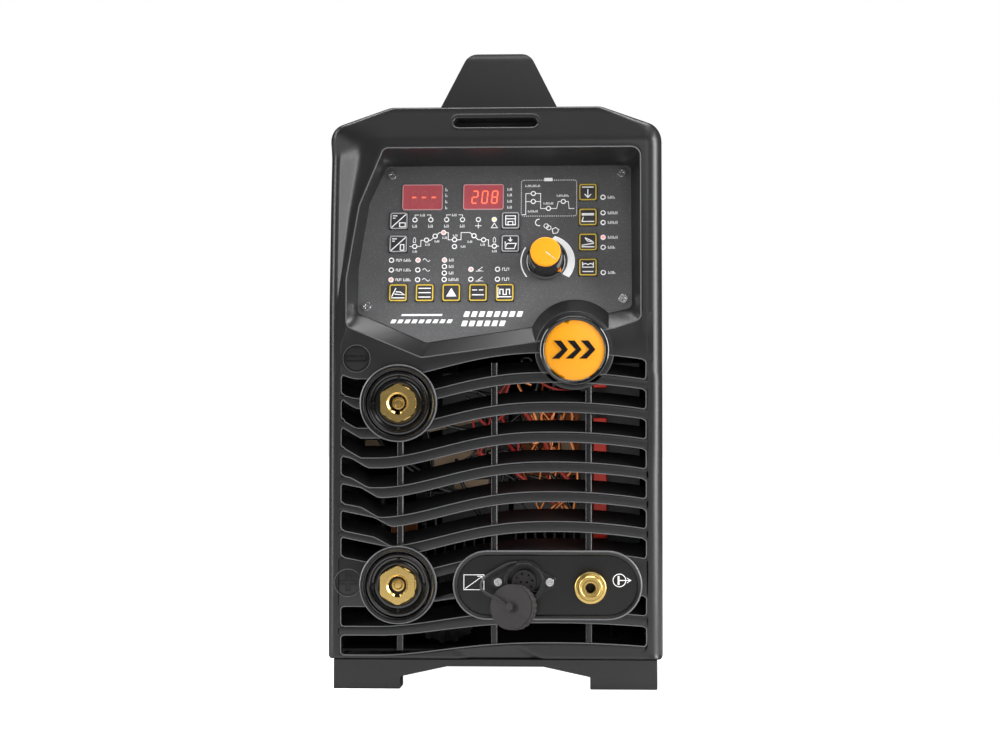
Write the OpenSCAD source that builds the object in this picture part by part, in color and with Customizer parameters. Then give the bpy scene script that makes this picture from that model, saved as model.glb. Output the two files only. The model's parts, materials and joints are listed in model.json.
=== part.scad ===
// Inverter welding machine: moulded front and rear bezels, steel casing,
// sloping control panel, welding sockets, torch connectors, fan and power parts.
// Millimetres, +Z up, the front faces -Y, origin under the middle of the machine.

/* [Case] */
// Width of the two moulded bezels
bezel_w = 245; // [225:1:300]
// Height of the bezels, measured above the feet
bezel_h = 406; // [396:1:490]
// Depth of the machine over the two bezels
case_d = 510; // [430:1:620]
// Height of the feet below the bezels
foot_h = 22; // [16:0.5:30]
// How far each bezel reaches over the casing
bezel_depth = 58; // [54:1:80]
// Wall of the moulded bezels
wall = 3; // [2.4:0.1:3.6]
// Thickness of the casing sheet
sheet = 1.2; // [0.8:0.1:1.6]
// Half width of the level top of the bezels
flat_half = 78; // [60:1:95]
// Fall of the sloping shoulders, in degrees
shoulder_fall = 20.5; // [12:0.5:28]
// Height of the top facet that leans back
facet_h = 26; // [20:1:27]
// How far the top facet leans back
facet_back = 10; // [8:1:26]

/* [Handle] */
// Height of the carry handle over the casing
handle_h = 56.5; // [48:0.5:70]
// Width of the handle on top
handle_w = 46; // [34:1:60]
// Thickness of the grip bar
handle_bar = 21; // [16:1:24]

/* [Control panel] */
// Lean of the control panel, in degrees
panel_tilt = 14; // [8:0.5:15]
// Thickness of the control panel
panel_t = 2; // [1.5:0.1:2.4]
// Side of a square key cap
key_side = 13.4; // [11:0.1:14.4]
// Travel of a key
key_travel = 0.8; // [0.4:0.1:1]
// Radius of the dial's skirt
dial_r = 15; // [12:0.5:17]
// Height of the dial
dial_h = 24; // [20:0.5:27]
// Radius of the encoder shaft
shaft_r = 3; // [2.5:0.1:3.4]

/* [Fittings] */
// Radius of the bore of the welding sockets
socket_bore_r = 6.55; // [4.6:0.05:7.5]
// Width across the flats of the socket hexagon
socket_af = 25.2; // [22:0.1:28]
// Radius of the bosses round the welding sockets
boss_r = 28.3; // [27:0.1:31]
// Radius of the round badge with its rim
badge_r = 25.4; // [22:0.1:27]
// Width of the connector plate
plate_w = 130.4; // [124:0.2:136]
// Height of the connector plate
plate_h = 43; // [40:0.2:46]
// Radius of the remote socket's shell
shell_r = 14.4; // [13.5:0.1:15]
// Radius of the dust cap
cap_r = 16.4; // [15:0.1:17]
// Radius of the hole in the gas outlet
gas_bore_r = 3.5; // [2:0.1:4.5]

/* [Rear] */
// Size of the square fan frame
fan_size = 120; // [92:1:130]
// Radius of the mains cable hole in the gland
gland_bore_r = 6; // [4:0.1:8]

/* [Hidden] */
$fn = 48;
front_y = -case_d / 2;
rear_y = case_d / 2;
top_z = foot_h + bezel_h;
half_w = bezel_w / 2;
crease_z = top_z - facet_h;
far = 200;            // longer than any cut has to reach
gap = 0.3;            // clearance round a part that moves
fit = 0.05;           // clearance of a running fit
casing_in = wall + 1; // how far the casing sheet lies inside the bezel's outline
edge_cut = 9;         // chamfer of the bezels' upright edges

// A polygon's corners rounded by arcs: corner i gets radius r[i].
function unit(v) = v / norm(v);
function arc_at(a, p, b, r, n = 6) =
  let (u = unit(a - p), v = unit(b - p), h = acos(u * v) / 2,
       c = p + unit(u + v) * r / sin(h),
       s = p + u * r / tan(h) - c, e = p + v * r / tan(h) - c,
       a0 = atan2(s.y, s.x), d0 = atan2(e.y, e.x) - a0,
       d = d0 > 180 ? d0 - 360 : d0 < -180 ? d0 + 360 : d0)
  [for (k = [0:n]) c + r * [cos(a0 + d * k / n), sin(a0 + d * k / n)]];
function rounded(pts, r) =
  let (n = len(pts))
  [for (i = [0:n - 1]) each arc_at(pts[(i + n - 1) % n], pts[i], pts[(i + 1) % n], r[i])];

// Frames: local z points out of the front face, out of the rear face, or out of the panel.
panel_origin = [0, front_y + 6, top_z - 178];
module on_front(x, z) { translate([x, front_y, z]) rotate([90, 0, 0]) children(); }
module on_rear(x, z) { translate([x, rear_y, z]) rotate([90, 0, 180]) children(); }
module on_panel(u = 0, v = 0) {
  translate(panel_origin) rotate([90 - panel_tilt, 0, 0]) translate([u, v, 0]) children();
}
module ring(r_out, r_in, z0, z1) {
  difference() {
    translate([0, 0, z0]) cylinder(r = r_out, h = z1 - z0);
    translate([0, 0, z0 - 1]) cylinder(r = r_in, h = z1 - z0 + 2);
  }
}
module disc(r, z0, z1) { translate([0, 0, z0]) cylinder(r = r, h = z1 - z0); }
module slab(w, h, z0, z1) { translate([-w / 2, -h / 2, z0]) cube([w, h, z1 - z0]); }

// A round tube or strap swept along points: rings of sides joined into one closed skin.
function tube_ring(p, t, r, sides) =
  let (side = unit(cross(t, abs(t.z) > 0.9 ? [1, 0, 0] : [0, 0, 1])), up = cross(side, t))
  [for (k = [0:sides - 1]) p + r * (cos(360 * k / sides) * side + sin(360 * k / sides) * up)];
function mid_curve(p, n) =
  [for (i = [0:len(p) - 2]) each [for (k = [0:n - 1])
    let (a = p[max(i - 1, 0)], b = p[i], c = p[i + 1], d = p[min(i + 2, len(p) - 1)], t = k / n)
    b + 0.5 * t * (c - a + t * (2 * a - 5 * b + 4 * c - d + t * (3 * b - 3 * c + d - a)))],
   p[len(p) - 1]];
module tube(route, r, sides = 8) {
  n = len(route);
  pts = [for (i = [0:n - 1])
    each tube_ring(route[i], unit(route[min(i + 1, n - 1)] - route[max(i - 1, 0)]), r, sides)];
  polyhedron(pts, concat(
    [[for (k = [0:sides - 1]) sides - 1 - k]],
    [[for (k = [0:sides - 1]) (n - 1) * sides + k]],
    [for (i = [0:n - 2], k = [0:sides - 1])
      [i * sides + k, i * sides + (k + 1) % sides,
       (i + 1) * sides + (k + 1) % sides, (i + 1) * sides + k]]));
}

// Outline of the bezels and the casing, seen from the front, drawn inside by inset.
function outline(inset) =
  let (w = half_w - inset, f = flat_half - inset * tan(shoulder_fall / 2),
       s = top_z - (w - flat_half) * tan(shoulder_fall) - inset / cos(shoulder_fall),
       b = foot_h + inset)
  rounded([[-w, b], [w, b], [w, s], [f, top_z - inset], [-f, top_z - inset], [-w, s]],
    [3, 3, 14, 16, 16, 14]);
module upright(pts, y0, y1) {
  translate([0, y1, 0]) rotate([90, 0, 0]) linear_extrude(height = y1 - y0) polygon(pts);
}
// Solid form of a bezel with its leaning top facet and chamfered upright edges.
module bezel_form(inset, back) {
  lean = [facet_back, facet_h];
  low = [front_y, crease_z] - 0.5 * lean;
  high = [front_y, crease_z] + 1.5 * lean;
  difference() {
    upright(outline(inset), front_y + inset, front_y + back);
    translate([-far, inset, 0]) rotate([90, 0, 90])
      linear_extrude(height = 2 * far) polygon([low, high, [low.x, high.y]]);
    for (s = [-1, 1]) translate([s * (half_w - inset), front_y + inset, 0])
      rotate([0, 0, 45]) translate([-edge_cut / sqrt(2), -edge_cut / sqrt(2), 0])
        cube([edge_cut * sqrt(2), edge_cut * sqrt(2), 2 * top_z]);
  }
}
module bezel_shell() {
  difference() {
    bezel_form(0, bezel_depth);
    bezel_form(wall, bezel_depth + 1);
  }
}

// Places of the front fittings, [x, z]; the lower ones hang on the base, the badge on the top.
socket_at = [[-70.5, foot_h + 186.5], [-70.5, foot_h + 54]];
badge_at = [58.2, top_z - 181];
plate_at = [38.3, foot_h + 54];
remote_at = [21.3, foot_h + 56.3];
gas_at = [69.6, foot_h + 53];
hex_r = socket_af / 2 / cos(30);
insulator_r = 23.2;
boss_in_r = insulator_r + 0.2;
lip_arc_r = badge_r + 3.6;

// Opening of the control recess in the front face, and the panel's own outline.
lip = rounded(
  [[-82, top_z - 31.4], [100.6, top_z - 31.4], [106.7, top_z - 38], [106.7, top_z - 158],
   [88, top_z - 164.5], [58, top_z - 170], [29.5, top_z - 174.6], [-54, top_z - 186],
   [-109.5, top_z - 163], [-109.5, top_z - 128], [-100, top_z - 74]],
  [5, 2, 2, 5, 3, 3, 3, 4, 6, 20, 10]);
panel_outline = rounded(
  [[-83.5, 142.4], [100.5, 142.4], [100.5, 30], [60, 20], [24.7, 14.8], [-51, 3.4],
   [-102.6, 26.5], [-102.6, 62], [-96, 112]],
  [3, 4, 5, 2, 2, 4, 5, 15, 15]);
panel_badge_at = [58.5, 2.4];
panel_badge_r = badge_r + 8.6;
floor_t = 2.5;
panel_window = [[-83, 32], [88, 32], [88, 129.2], [-83, 129.2]];
module in_front_of(w) { on_panel() translate([-far, -far / 2, w]) cube([2 * far, 2 * far, far]); }
module recess_block() {
  intersection() {
    union() {
      upright(lip, front_y + 0.5, front_y + bezel_depth - 2);
      for (s = [-wall, wall], t = [-wall, wall])
        translate([s, 0, t]) upright(lip, front_y + 0.5, front_y + bezel_depth - 2);
    }
    in_front_of(-panel_t - floor_t);
    bezel_form(0, bezel_depth);
  }
}
module recess_void() {
  difference() {
    intersection() {
      upright(lip, front_y - 1, front_y + bezel_depth);
      in_front_of(-panel_t);
    }
    on_front(badge_at.x, badge_at.y) disc(lip_arc_r, -14, 1);
  }
}

// Grille: wavy slots, each [number, x from, x to, how much of the wave, how much of the step].
slot_h = 14.6;
slot_pitch = 21.75;
sleeve = 2.2;
grille_depth = 14;
slot_left = -half_w + 9.4;
slot_right = half_w - 12.1;
crest_x = 44;
wave_drop = 19;
wave_len = 129;
step_rise = 7.3;
step_len = 12.5;
SLOTS = [
  [0, slot_left, slot_right, 1, 0.5], [1, slot_left, slot_right, 1, 1], [2, slot_left, slot_right, 1, 1],
  [3, slot_left, slot_right, 1, 1], [4, slot_left, slot_right, 1, 1],
  [5, slot_left, slot_right, 1, 1], [6, slot_left, slot_right, 1, 1], [7, -50, -24, 1, 0],
  [8, slot_left, slot_right, 0.6, 0], [9, slot_left, slot_right, 0.5, 0]
];
RIBS = [-69.7, -0.7, 68.3];
function smooth(t) = let (c = min(max(t, 0), 1)) c * c * (3 - 2 * c);
function wave(x) =
  x > crest_x ? 0.00118 * pow(x - crest_x, 2) : wave_drop * smooth(pow((crest_x - x) / wave_len, 1.35));
function step_end(i) = -103 + 1.1 * i * i;
function left_rise(x, i) =
  step_rise * min(max((step_end(i) - x) / step_len, 0), 1)
  + 0.2 * max(step_end(i) - step_len - x, 0);
function slot_top(i) = badge_at.y - 1.5 - slot_pitch * i - (i == 9 ? 1 : 0);
function slot_z(s, x) = slot_top(s[0]) - s[3] * wave(x) + s[4] * left_rise(x, s[0]);
function band(s, grow) =
  let (n = 22, a = s[1] - grow, b = s[2] + grow)
  concat([for (k = [0:n]) let (x = a + (b - a) * k / n) [x, slot_z(s, x) + grow]],
         [for (k = [n:-1:0]) let (x = a + (b - a) * k / n) [x, slot_z(s, x) - slot_h - grow]]);

module stadium(w, h, z0, z1) {
  slab(w - h, h, z0, z1);
  for (s = [-1, 1]) translate([s * (w - h) / 2, 0, 0]) disc(h / 2, z0, z1);
}
module facet_slot() {
  translate([0, front_y + facet_back / 2, crease_z + facet_h / 2 + 1])
    rotate([90 - atan2(facet_back, facet_h), 0, 0]) stadium(63, 9, -8, 8);
}
module front_bezel() {
  color([0.13, 0.13, 0.14]) difference() {
    union() {
      difference() {
        union() {
          bezel_shell();
          for (s = SLOTS) upright(band(s, sleeve), front_y + 1, front_y + grille_depth);
        }
        for (s = SLOTS) upright(band(s, 0), front_y - 1, front_y + grille_depth + 1);
      }
      recess_block();
      for (x = RIBS) translate([x - 2.4, front_y + 1.5, foot_h + 8])
        cube([4.8, grille_depth - 2.5, slot_top(0) - slot_pitch / 2 - foot_h]);
      for (p = socket_at) on_front(p.x, p.y) disc(boss_r, -grille_depth - 4, 5);
      on_front(badge_at.x, badge_at.y) disc(lip_arc_r, -grille_depth, 0);
      on_front(plate_at.x, plate_at.y) stadium(plate_w + 5.6, plate_h + 7.6, -6, 3);
    }
    recess_void();
    on_panel() translate([0, 0, -far]) linear_extrude(height = far) polygon(panel_window);
    for (p = SCREWS) on_panel(p.x, p.y) disc(1.7, -far / 2, 0);
    facet_slot();
    for (p = socket_at) on_front(p.x, p.y) {
      disc(boss_in_r, -4, 6);
      disc(insulator_r - 8, -far / 4, 0);
    }
    on_front(plate_at.x, plate_at.y) stadium(plate_w + 0.4, plate_h + 0.4, -1, 4);
    on_front(remote_at.x, remote_at.y) disc(shell_r - 0.5, -far / 4, 0);
    on_front(gas_at.x, gas_at.y) disc(gas_neck_r + 0.2, -far / 4, 0);
    for (s = [-1, 1]) on_front(remote_at.x + s * remote_screw_x, remote_at.y) disc(1.6, -far / 4, 0);
  }
}

// Control panel: keys, lamps and windows in panel coordinates.
SCREWS = [[-79.2, 135.1], [93.5, 136], [-96, 31], [94, 36.8]];
WINDOWS = [[-56, 117.5], [-10.2, 117.5]];
window_w = 30.2;
window_h = 20;
GREY_KEYS = [[-73.4, 98.5], [10.3, 98.5], [-73.4, 80.2], [10.3, 80.2]];
key_pitch = 19.8;
ROW_KEYS = [for (i = [0:4]) [-72.7 + key_pitch * i, 41.8]];
COLUMN_KEYS = [for (i = [0:3]) [68.1, 120.7 - key_pitch * i]];
KEYS = concat(GREY_KEYS, ROW_KEYS, COLUMN_KEYS);
dial_at = [37, 65.8];
lamp_r = 1.5;
LAMPS = concat(
  [for (i = [0:5]) [-61.4 + 11.9 * i, 99.5]],
  [for (i = [0:1], k = [0:2]) [-78.2 + key_pitch * i, 52.2 + 7.7 * k]],
  [for (k = [0:3]) [-78.2 + key_pitch * 2, 52.3 + 5.1 * k]],
  [for (i = [3:4], k = [0:1]) [-78.2 + key_pitch * i, 52.4 + 7.8 * k]],
  [for (v = [116.8, 104.4, 96.7, 85, 77.1, 57.3]) [79.4, v]],
  [[-61.1, 78.4], [-52.4, 83.4], [-46, 86.5], [-39.7, 89.3], [-31.4, 83.6], [-31.4, 78.2],
   [-16.9, 86.7], [-9.7, 83.4], [-1.6, 78.4]],
  [[27.2, 120.1], [27.2, 113.7], [38.6, 108.1], [49.7, 113.6]]);
bush_r = 4.4;
board_w = -9.4; // front of the control board, in panel coordinates
module control_plate() {
  color([0.2, 0.2, 0.21]) on_panel() difference() {
    translate([0, 0, -panel_t]) linear_extrude(height = panel_t) polygon(panel_outline);
    translate(panel_badge_at) disc(panel_badge_r, -5, 5);
    for (p = SCREWS) translate(p) disc(1.7, -5, 5);
    for (p = WINDOWS) translate(p) slab(window_w + 0.2, window_h + 0.2, -5, 5);
    for (p = KEYS) translate(p) slab(key_side + 2 * gap, key_side + 2 * gap, -5, 5);
    for (p = LAMPS) translate(p) disc(lamp_r + fit, -5, 5);
    translate(dial_at) disc(bush_r + 0.1, -5, 5);
  }
}
module fascia_screws() {
  color("silver") for (p = SCREWS) on_panel(p.x, p.y) difference() {
    union() {
      disc(3.3, 0, 1.4);
      disc(1.6, -7, 0);
    }
    slab(0.9, 3.8, 0.8, 3);
    slab(3.8, 0.9, 0.8, 3);
  }
}
module display_windows() {
  color([0.75, 0.15, 0.12]) for (p = WINDOWS) on_panel(p.x, p.y) slab(window_w, window_h, -1.6, 0.3);
}
module led_lenses() {
  color([0.85, 0.8, 0.8]) for (p = LAMPS) on_panel(p.x, p.y) disc(lamp_r, -panel_t, 0.35);
}
module control_board() {
  color([0.1, 0.35, 0.2]) on_panel() {
    translate([-90.5, 27, board_w - 1.6]) cube([185, 108, 1.6]);
    for (u = [-87.5, 91.5], v = [30, 132]) translate([u, v, 0])
      disc(2.4, board_w, -panel_t - floor_t);
    for (p = KEYS) translate(p) slab(6, 6, board_w, key_stem_w - key_travel - 0.2);
    for (p = WINDOWS) translate(p) slab(window_w - 2, window_h - 1, board_w, -1.7);
  }
}
key_stem_w = -6.2;
flange_w = -panel_t - 0.3;
module key_cap(i) {
  on_panel(KEYS[i].x, KEYS[i].y) {
    slab(key_side, key_side, flange_w, 0.9);
    slab(key_side + 1.8, key_side + 1.8, flange_w - 1.6, flange_w);
    disc(2.6, key_stem_w, flange_w - 1.6);
  }
}
module key(i, tint) { color(tint) key_cap(i); }
key_grey = [0.3, 0.3, 0.31];
key_yellow = [0.55, 0.5, 0.2];
module encoder_body() {
  color("silver") on_panel(dial_at.x, dial_at.y) difference() {
    union() {
      slab(14, 14, board_w, flange_w);
      disc(bush_r, flange_w, 1.4);
    }
    disc(shaft_r + fit, board_w - 1, 3);
  }
}
module encoder_shaft() {
  color("silver") on_panel(dial_at.x, dial_at.y) disc(shaft_r, board_w + 1.4, dial_h - 7.2);
}
module dial_knob() {
  r = dial_r;
  top = dial_h - 1.6;
  color([0.04, 0.04, 0.05]) on_panel(dial_at.x, dial_at.y) difference() {
    rotate_extrude() polygon([[0, 2.4], [r - 1, 2.4], [r, 3], [r, 4.6], [r - 1, 5.2],
      [r - 2.4, 6.6], [r - 3.8, top - 1], [r - 4, top], [0, top]]);
    disc(bush_r + 1.2, 2, 5);
    disc(shaft_r + fit, 2, dial_h - 6.8);
    disc(r - 4.6, top - 1.2, top + 1);
  }
}
module dial_cap() {
  color([1, 0.72, 0.02]) on_panel(dial_at.x, dial_at.y) difference() {
    disc(dial_r - 4.7, dial_h - 2.8, dial_h);
    rotate([0, 0, -39]) translate([0.8, -0.5, dial_h - 0.4]) cube([8.4, 1, 1]);
  }
}

// Badge: a rim round a domed disc with no lettering.
module badge_ring() {
  color([0.03, 0.03, 0.03]) on_front(badge_at.x, badge_at.y) rotate_extrude()
    polygon([[badge_r - 3.3, 0], [badge_r, 0], [badge_r, 3.4], [badge_r - 0.8, 4.2],
      [badge_r - 2.5, 4.2], [badge_r - 3.3, 3.4]]);
}
module badge_disc() {
  r = badge_r - 3.4;
  color([1, 0.72, 0.05]) on_front(badge_at.x, badge_at.y) rotate_extrude()
    polygon(concat([[0, 0]], [for (k = [0:8]) let (x = r * (1 - k / 8)) [x, 4.8 - 2 * pow(x / r, 2)]]));
}

// Welding sockets: black insulators round hexagonal brass bodies with a keyed bore.
hex_front = 10;
bore_depth = 26;
module socket_insulators() {
  color([0.05, 0.05, 0.05]) for (p = socket_at) on_front(p.x, p.y) difference() {
    union() {
      disc(insulator_r, -4, 1.5);
      ring(insulator_r, insulator_r - 3, 1, 4.2);
      disc(insulator_r - 6.2, 1, 3);
      disc(insulator_r - 8.3, -24, -4);
    }
    disc(hex_r - 1.45, -far / 4, 10);
    for (a = [45:90:315]) rotate([0, 0, a]) translate([insulator_r - 4.6, 0, 0]) disc(1.1, 0, 3);
  }
}
module panel_sockets() {
  color("goldenrod") for (p = socket_at) on_front(p.x, p.y) difference() {
    union() {
      translate([0, 0, 3]) rotate([0, 0, 30]) cylinder(r = hex_r, h = hex_front - 3, $fn = 6);
      disc(hex_r - 1.5, -25, 3);
      disc(6, -44, -25);
    }
    disc(socket_bore_r, hex_front - bore_depth, hex_front + 1);
    rotate_extrude() polygon([[0, hex_front - 1.4], [socket_bore_r, hex_front - 1.4],
      [socket_bore_r + 1.5, hex_front + 0.1], [0, hex_front + 0.1]]);
    translate([-1.7, -socket_bore_r - 2, hex_front - 12]) cube([3.4, 4, 13]);
  }
}

// Connector plate with the remote socket, its tethered dust cap and the gas outlet.
remote_screw_x = 18.8;
shell_out = 9;
flange_t = 2.2;
collar_t = 1.8;
gas_neck_r = 7;
gas_out = 20;
module connector_plate() {
  color([0.1, 0.1, 0.11]) on_front(plate_at.x, plate_at.y) difference() {
    stadium(plate_w, plate_h, -1, 1);
    translate(remote_at - plate_at) {
      disc(shell_r - 0.5, -5, 5);
      for (s = [-1, 1]) translate([s * remote_screw_x, 0, 0]) disc(1.6, -5, 5);
    }
    translate(gas_at - plate_at) disc(gas_neck_r + 0.2, -5, 5);
  }
}
module remote_socket_shell() {
  lug = 4.8;
  color([0.08, 0.08, 0.09]) on_front(remote_at.x, remote_at.y) difference() {
    union() {
      disc(shell_r + 0.9, 1, 1 + flange_t);
      for (s = [-1, 1]) {
        translate([s * remote_screw_x, 0, 0]) disc(lug, 1, 1 + flange_t);
        translate([0, 0, 1]) linear_extrude(height = flange_t)
          polygon([[0, -shell_r - 0.7], [s * (remote_screw_x + 2), -4.3],
            [s * (remote_screw_x + 2), 4.3], [0, shell_r + 0.7]]);
      }
      disc(shell_r, 1, shell_out);
      disc(shell_r - 0.7, -16, 1);
    }
    disc(shell_r - 2.2, -far / 4, 10);
    for (s = [-1, 1]) translate([s * remote_screw_x, 0, 0]) disc(1.6, -5, 5);
  }
}
module remote_socket_insert() {
  color([0.12, 0.12, 0.12]) on_front(remote_at.x, remote_at.y) difference() {
    union() {
      disc(shell_r - 2.25, -14, -4);
      disc(9, -14, 5);
    }
    for (a = [0:45:315]) rotate([0, 0, a + 12]) translate([6.3, 0, 0]) disc(0.7, -1, 6);
    for (s = [-1, 1]) translate([2.2 * s, 0, 0]) disc(0.7, -1, 6);
  }
}
module remote_socket_screws() {
  color("silver") for (s = [-1, 1]) on_front(remote_at.x + s * remote_screw_x, remote_at.y)
    difference() {
      union() {
        disc(3, 1 + flange_t, 2.4 + flange_t);
        disc(1.5, -8, 1 + flange_t);
      }
      slab(0.8, 3.4, 1.8 + flange_t, 5);
      slab(3.4, 0.8, 1.8 + flange_t, 5);
    }
}
module gas_outlet() {
  color("goldenrod") on_front(gas_at.x, gas_at.y) difference() {
    rotate_extrude() polygon([[0, -26], [4.5, -26], [4.5, -10], [gas_neck_r, -10], [gas_neck_r, 1],
      [10.4, 1], [10.4, 8], [11.5, 9], [11.5, 16], [10.8, 17], [9.6, 17], [9.2, gas_out - 1],
      [8.2, gas_out], [0, gas_out]]);
    disc(gas_bore_r, 2, gas_out + 1);
    disc(2, -27, 3);
    ring(6.4, 5, gas_out - 3, gas_out + 1);
  }
}
// The cap hangs turned to the left by cap_turn and a little upwards, on the strap's eye.
cap_turn = 21;
cap_lift = 5;
cap_len = 9.5;
cap_at = [remote_at.x - 8.9, front_y - 22.5, remote_at.y - 16.6];
pin_r = 1.8;
module on_cap() { translate(cap_at) rotate([90 - cap_lift, 0, -cap_turn]) children(); }
module dust_cap() {
  color([0.24, 0.22, 0.22]) on_cap() difference() {
    union() {
      disc(cap_r, -cap_len, -0.8);
      disc(cap_r - 0.8, -0.9, 0);
      disc(pin_r, -1, 2.4);
      disc(2.7, 2.3, 3.3);
    }
    disc(cap_r - 2, -cap_len - 1, -2.6);
    for (k = [0:23]) rotate([0, 0, 15 * k]) translate([cap_r + 0.5, 0, 0]) disc(1, -cap_len - 1, -1.6);
  }
}
eye_z = 1.3; // middle of the strap's eye over the cap's face
function cap_point(x, y, z) =
  let (cl = cos(cap_lift), sl = sin(cap_lift), ct = cos(cap_turn), st = sin(cap_turn),
       q = [x, y * sl - z * cl, y * cl + z * sl])
  cap_at + [q.x * ct + q.y * st, -q.x * st + q.y * ct, q.z];
strap_r = 1.1;
collar_r = shell_r + 1.3;
collar_y = front_y - 1 - flange_t - 0.2 - collar_t / 2;
STRAP = [
  [remote_at.x - 5.5, collar_y, remote_at.y + 14.4],
  [remote_at.x - 12.5, collar_y - 2.2, remote_at.y + 13],
  [remote_at.x - 21, collar_y - 4, remote_at.y + 8.5],
  [remote_at.x - 28, collar_y - 7, remote_at.y + 4],
  [remote_at.x - 31, collar_y - 11, remote_at.y - 1],
  [remote_at.x - 28.5, collar_y - 14.5, remote_at.y - 6],
  [remote_at.x - 20, collar_y - 17, remote_at.y - 10.4],
  cap_point(-4.6, 2.3, eye_z + 0.5), cap_point(-2.9, 1.2, eye_z)
];
module cap_tether() {
  color([0.07, 0.07, 0.08]) {
    on_front(remote_at.x, remote_at.y)
      ring(collar_r, shell_r + fit, 1 + flange_t + 0.2, 1 + flange_t + 0.2 + collar_t);
    tube(mid_curve(STRAP, 3), strap_r);
    on_cap() ring(3.6, pin_r + fit, 0.35, 2.2);
  }
}

// Casing of bent sheet between the two bezels.
casing_end = 14;
casing_w = half_w - casing_in;
side_top = top_z - (casing_w - flat_half) * tan(shoulder_fall) - casing_in / cos(shoulder_fall) - 14;
tray_z = foot_h + wall + 1;
casing_y0 = front_y + casing_end + 6;
casing_y1 = rear_y - casing_end;
top_y1 = rear_y - facet_back - wall - 4;
louvre_pitch = 13;
SIDE_SCREWS = [for (s = [-1, 1]) [s * (case_d / 2 - bezel_depth - 18), tray_z + 8]];
module side_holes(r) {
  for (p = SIDE_SCREWS) translate([0, p.x, p.y]) rotate([0, 90, 0])
    cylinder(r = r, h = 2 * far, center = true);
}
module chassis_tray() {
  w = casing_w - sheet - 0.1;
  color([0.16, 0.16, 0.17]) difference() {
    union() {
      translate([-w, casing_y0, tray_z]) cube([2 * w, casing_y1 - casing_y0, 1.5]);
      for (s = [-1, 1]) translate([s > 0 ? w - 1.5 : -w, casing_y0, tray_z])
        cube([1.5, casing_y1 - casing_y0, 18]);
    }
    side_holes(2.1);
  }
}
module side_panel(s) {
  color([0.11, 0.11, 0.12]) difference() {
    translate([s > 0 ? casing_w - sheet : -casing_w, casing_y0, tray_z])
      cube([sheet, casing_y1 - casing_y0, side_top - tray_z]);
    side_holes(2.1);
    for (c = [-1, 1], k = [0:10])
      translate([s * casing_w - 5, c * 70 - 38, tray_z + 60 + louvre_pitch * k]) cube([10, 76, 3.6]);
  }
}
module left_side_panel() { side_panel(-1); }
module right_side_panel() { side_panel(1); }
handle_y0 = front_y + bezel_depth + 3;
leg_l = 78;
HANDLE_SCREWS = [for (s = [-1, 1], t = [-1, 1]) [s * 24, t * (-handle_y0 - leg_l / 2)]];
module handle_bolts(r) {
  for (p = HANDLE_SCREWS) translate([p.x, p.y, top_z - casing_in - 12]) cylinder(r = r, h = 24);
}
module top_panel() {
  color([0.11, 0.11, 0.12]) difference() {
    intersection() {
      difference() {
        upright(outline(casing_in), casing_y0, top_y1);
        upright(outline(casing_in + sheet), casing_y0 - 1, casing_y1 + 1);
      }
      translate([-far, casing_y0 - 1, side_top + 0.1]) cube([2 * far, 2 * case_d, far]);
    }
    handle_bolts(2.6);
  }
}
module carry_handle() {
  z0 = top_z - casing_in + 0.02;
  z1 = z0 + handle_h;
  y0 = handle_y0;
  bar_z = z1 - handle_bar;
  side = rounded([[y0, z0], [y0 + 12, z1], [-y0 - 12, z1], [-y0, z0], [-y0 - leg_l, z0],
    [-y0 - leg_l - 26, bar_z], [y0 + leg_l + 26, bar_z], [y0 + leg_l, z0]],
    [1, 9, 9, 1, 1, 12, 12, 1]);
  face = rounded([[-handle_w / 2 - handle_h * 0.49, z0], [handle_w / 2 + handle_h * 0.49, z0],
    [handle_w / 2, z1], [-handle_w / 2, z1]], [1, 1, 13, 13]);
  color([0.1, 0.1, 0.1]) difference() {
    intersection() {
      upright(face, y0 - 1, -y0 + 1);
      translate([-far, 0, 0]) rotate([90, 0, 90]) linear_extrude(height = 2 * far) polygon(side);
    }
    handle_bolts(2.1);
  }
}
foot_w = 236.5 / 245 * bezel_w;
foot_d = 24;
module foot(y0) {
  w = foot_w / 2;
  inner = w - 49;
  rise = foot_h - 5.6;
  color([0.1, 0.1, 0.1]) upright([[-w, 0], [-inner, 0], [-inner, foot_h * 0.41],
    [-inner + 4, foot_h * 0.45], [-inner + 34, rise], [inner - 34, rise],
    [inner - 4, foot_h * 0.45], [inner, foot_h * 0.41], [inner, 0], [w, 0], [w, foot_h - 0.02],
    [-w, foot_h - 0.02]], y0, y0 + foot_d);
}
module front_foot() { foot(front_y + 2); }
module rear_foot() { foot(rear_y - 2 - foot_d); }
module casing_screws() {
  color("dimgray") {
    for (p = SIDE_SCREWS, s = [-1, 1]) translate([s * casing_w, p.x, p.y])
      rotate([0, 90 * s, 0]) {
        disc(4.4, 0, 2);
        disc(2, -8, 0);
      }
    for (p = HANDLE_SCREWS) translate([p.x, p.y, top_z - casing_in - sheet]) {
      disc(4, -2.4, 0);
      disc(2, 0, 10);
    }
  }
}

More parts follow.
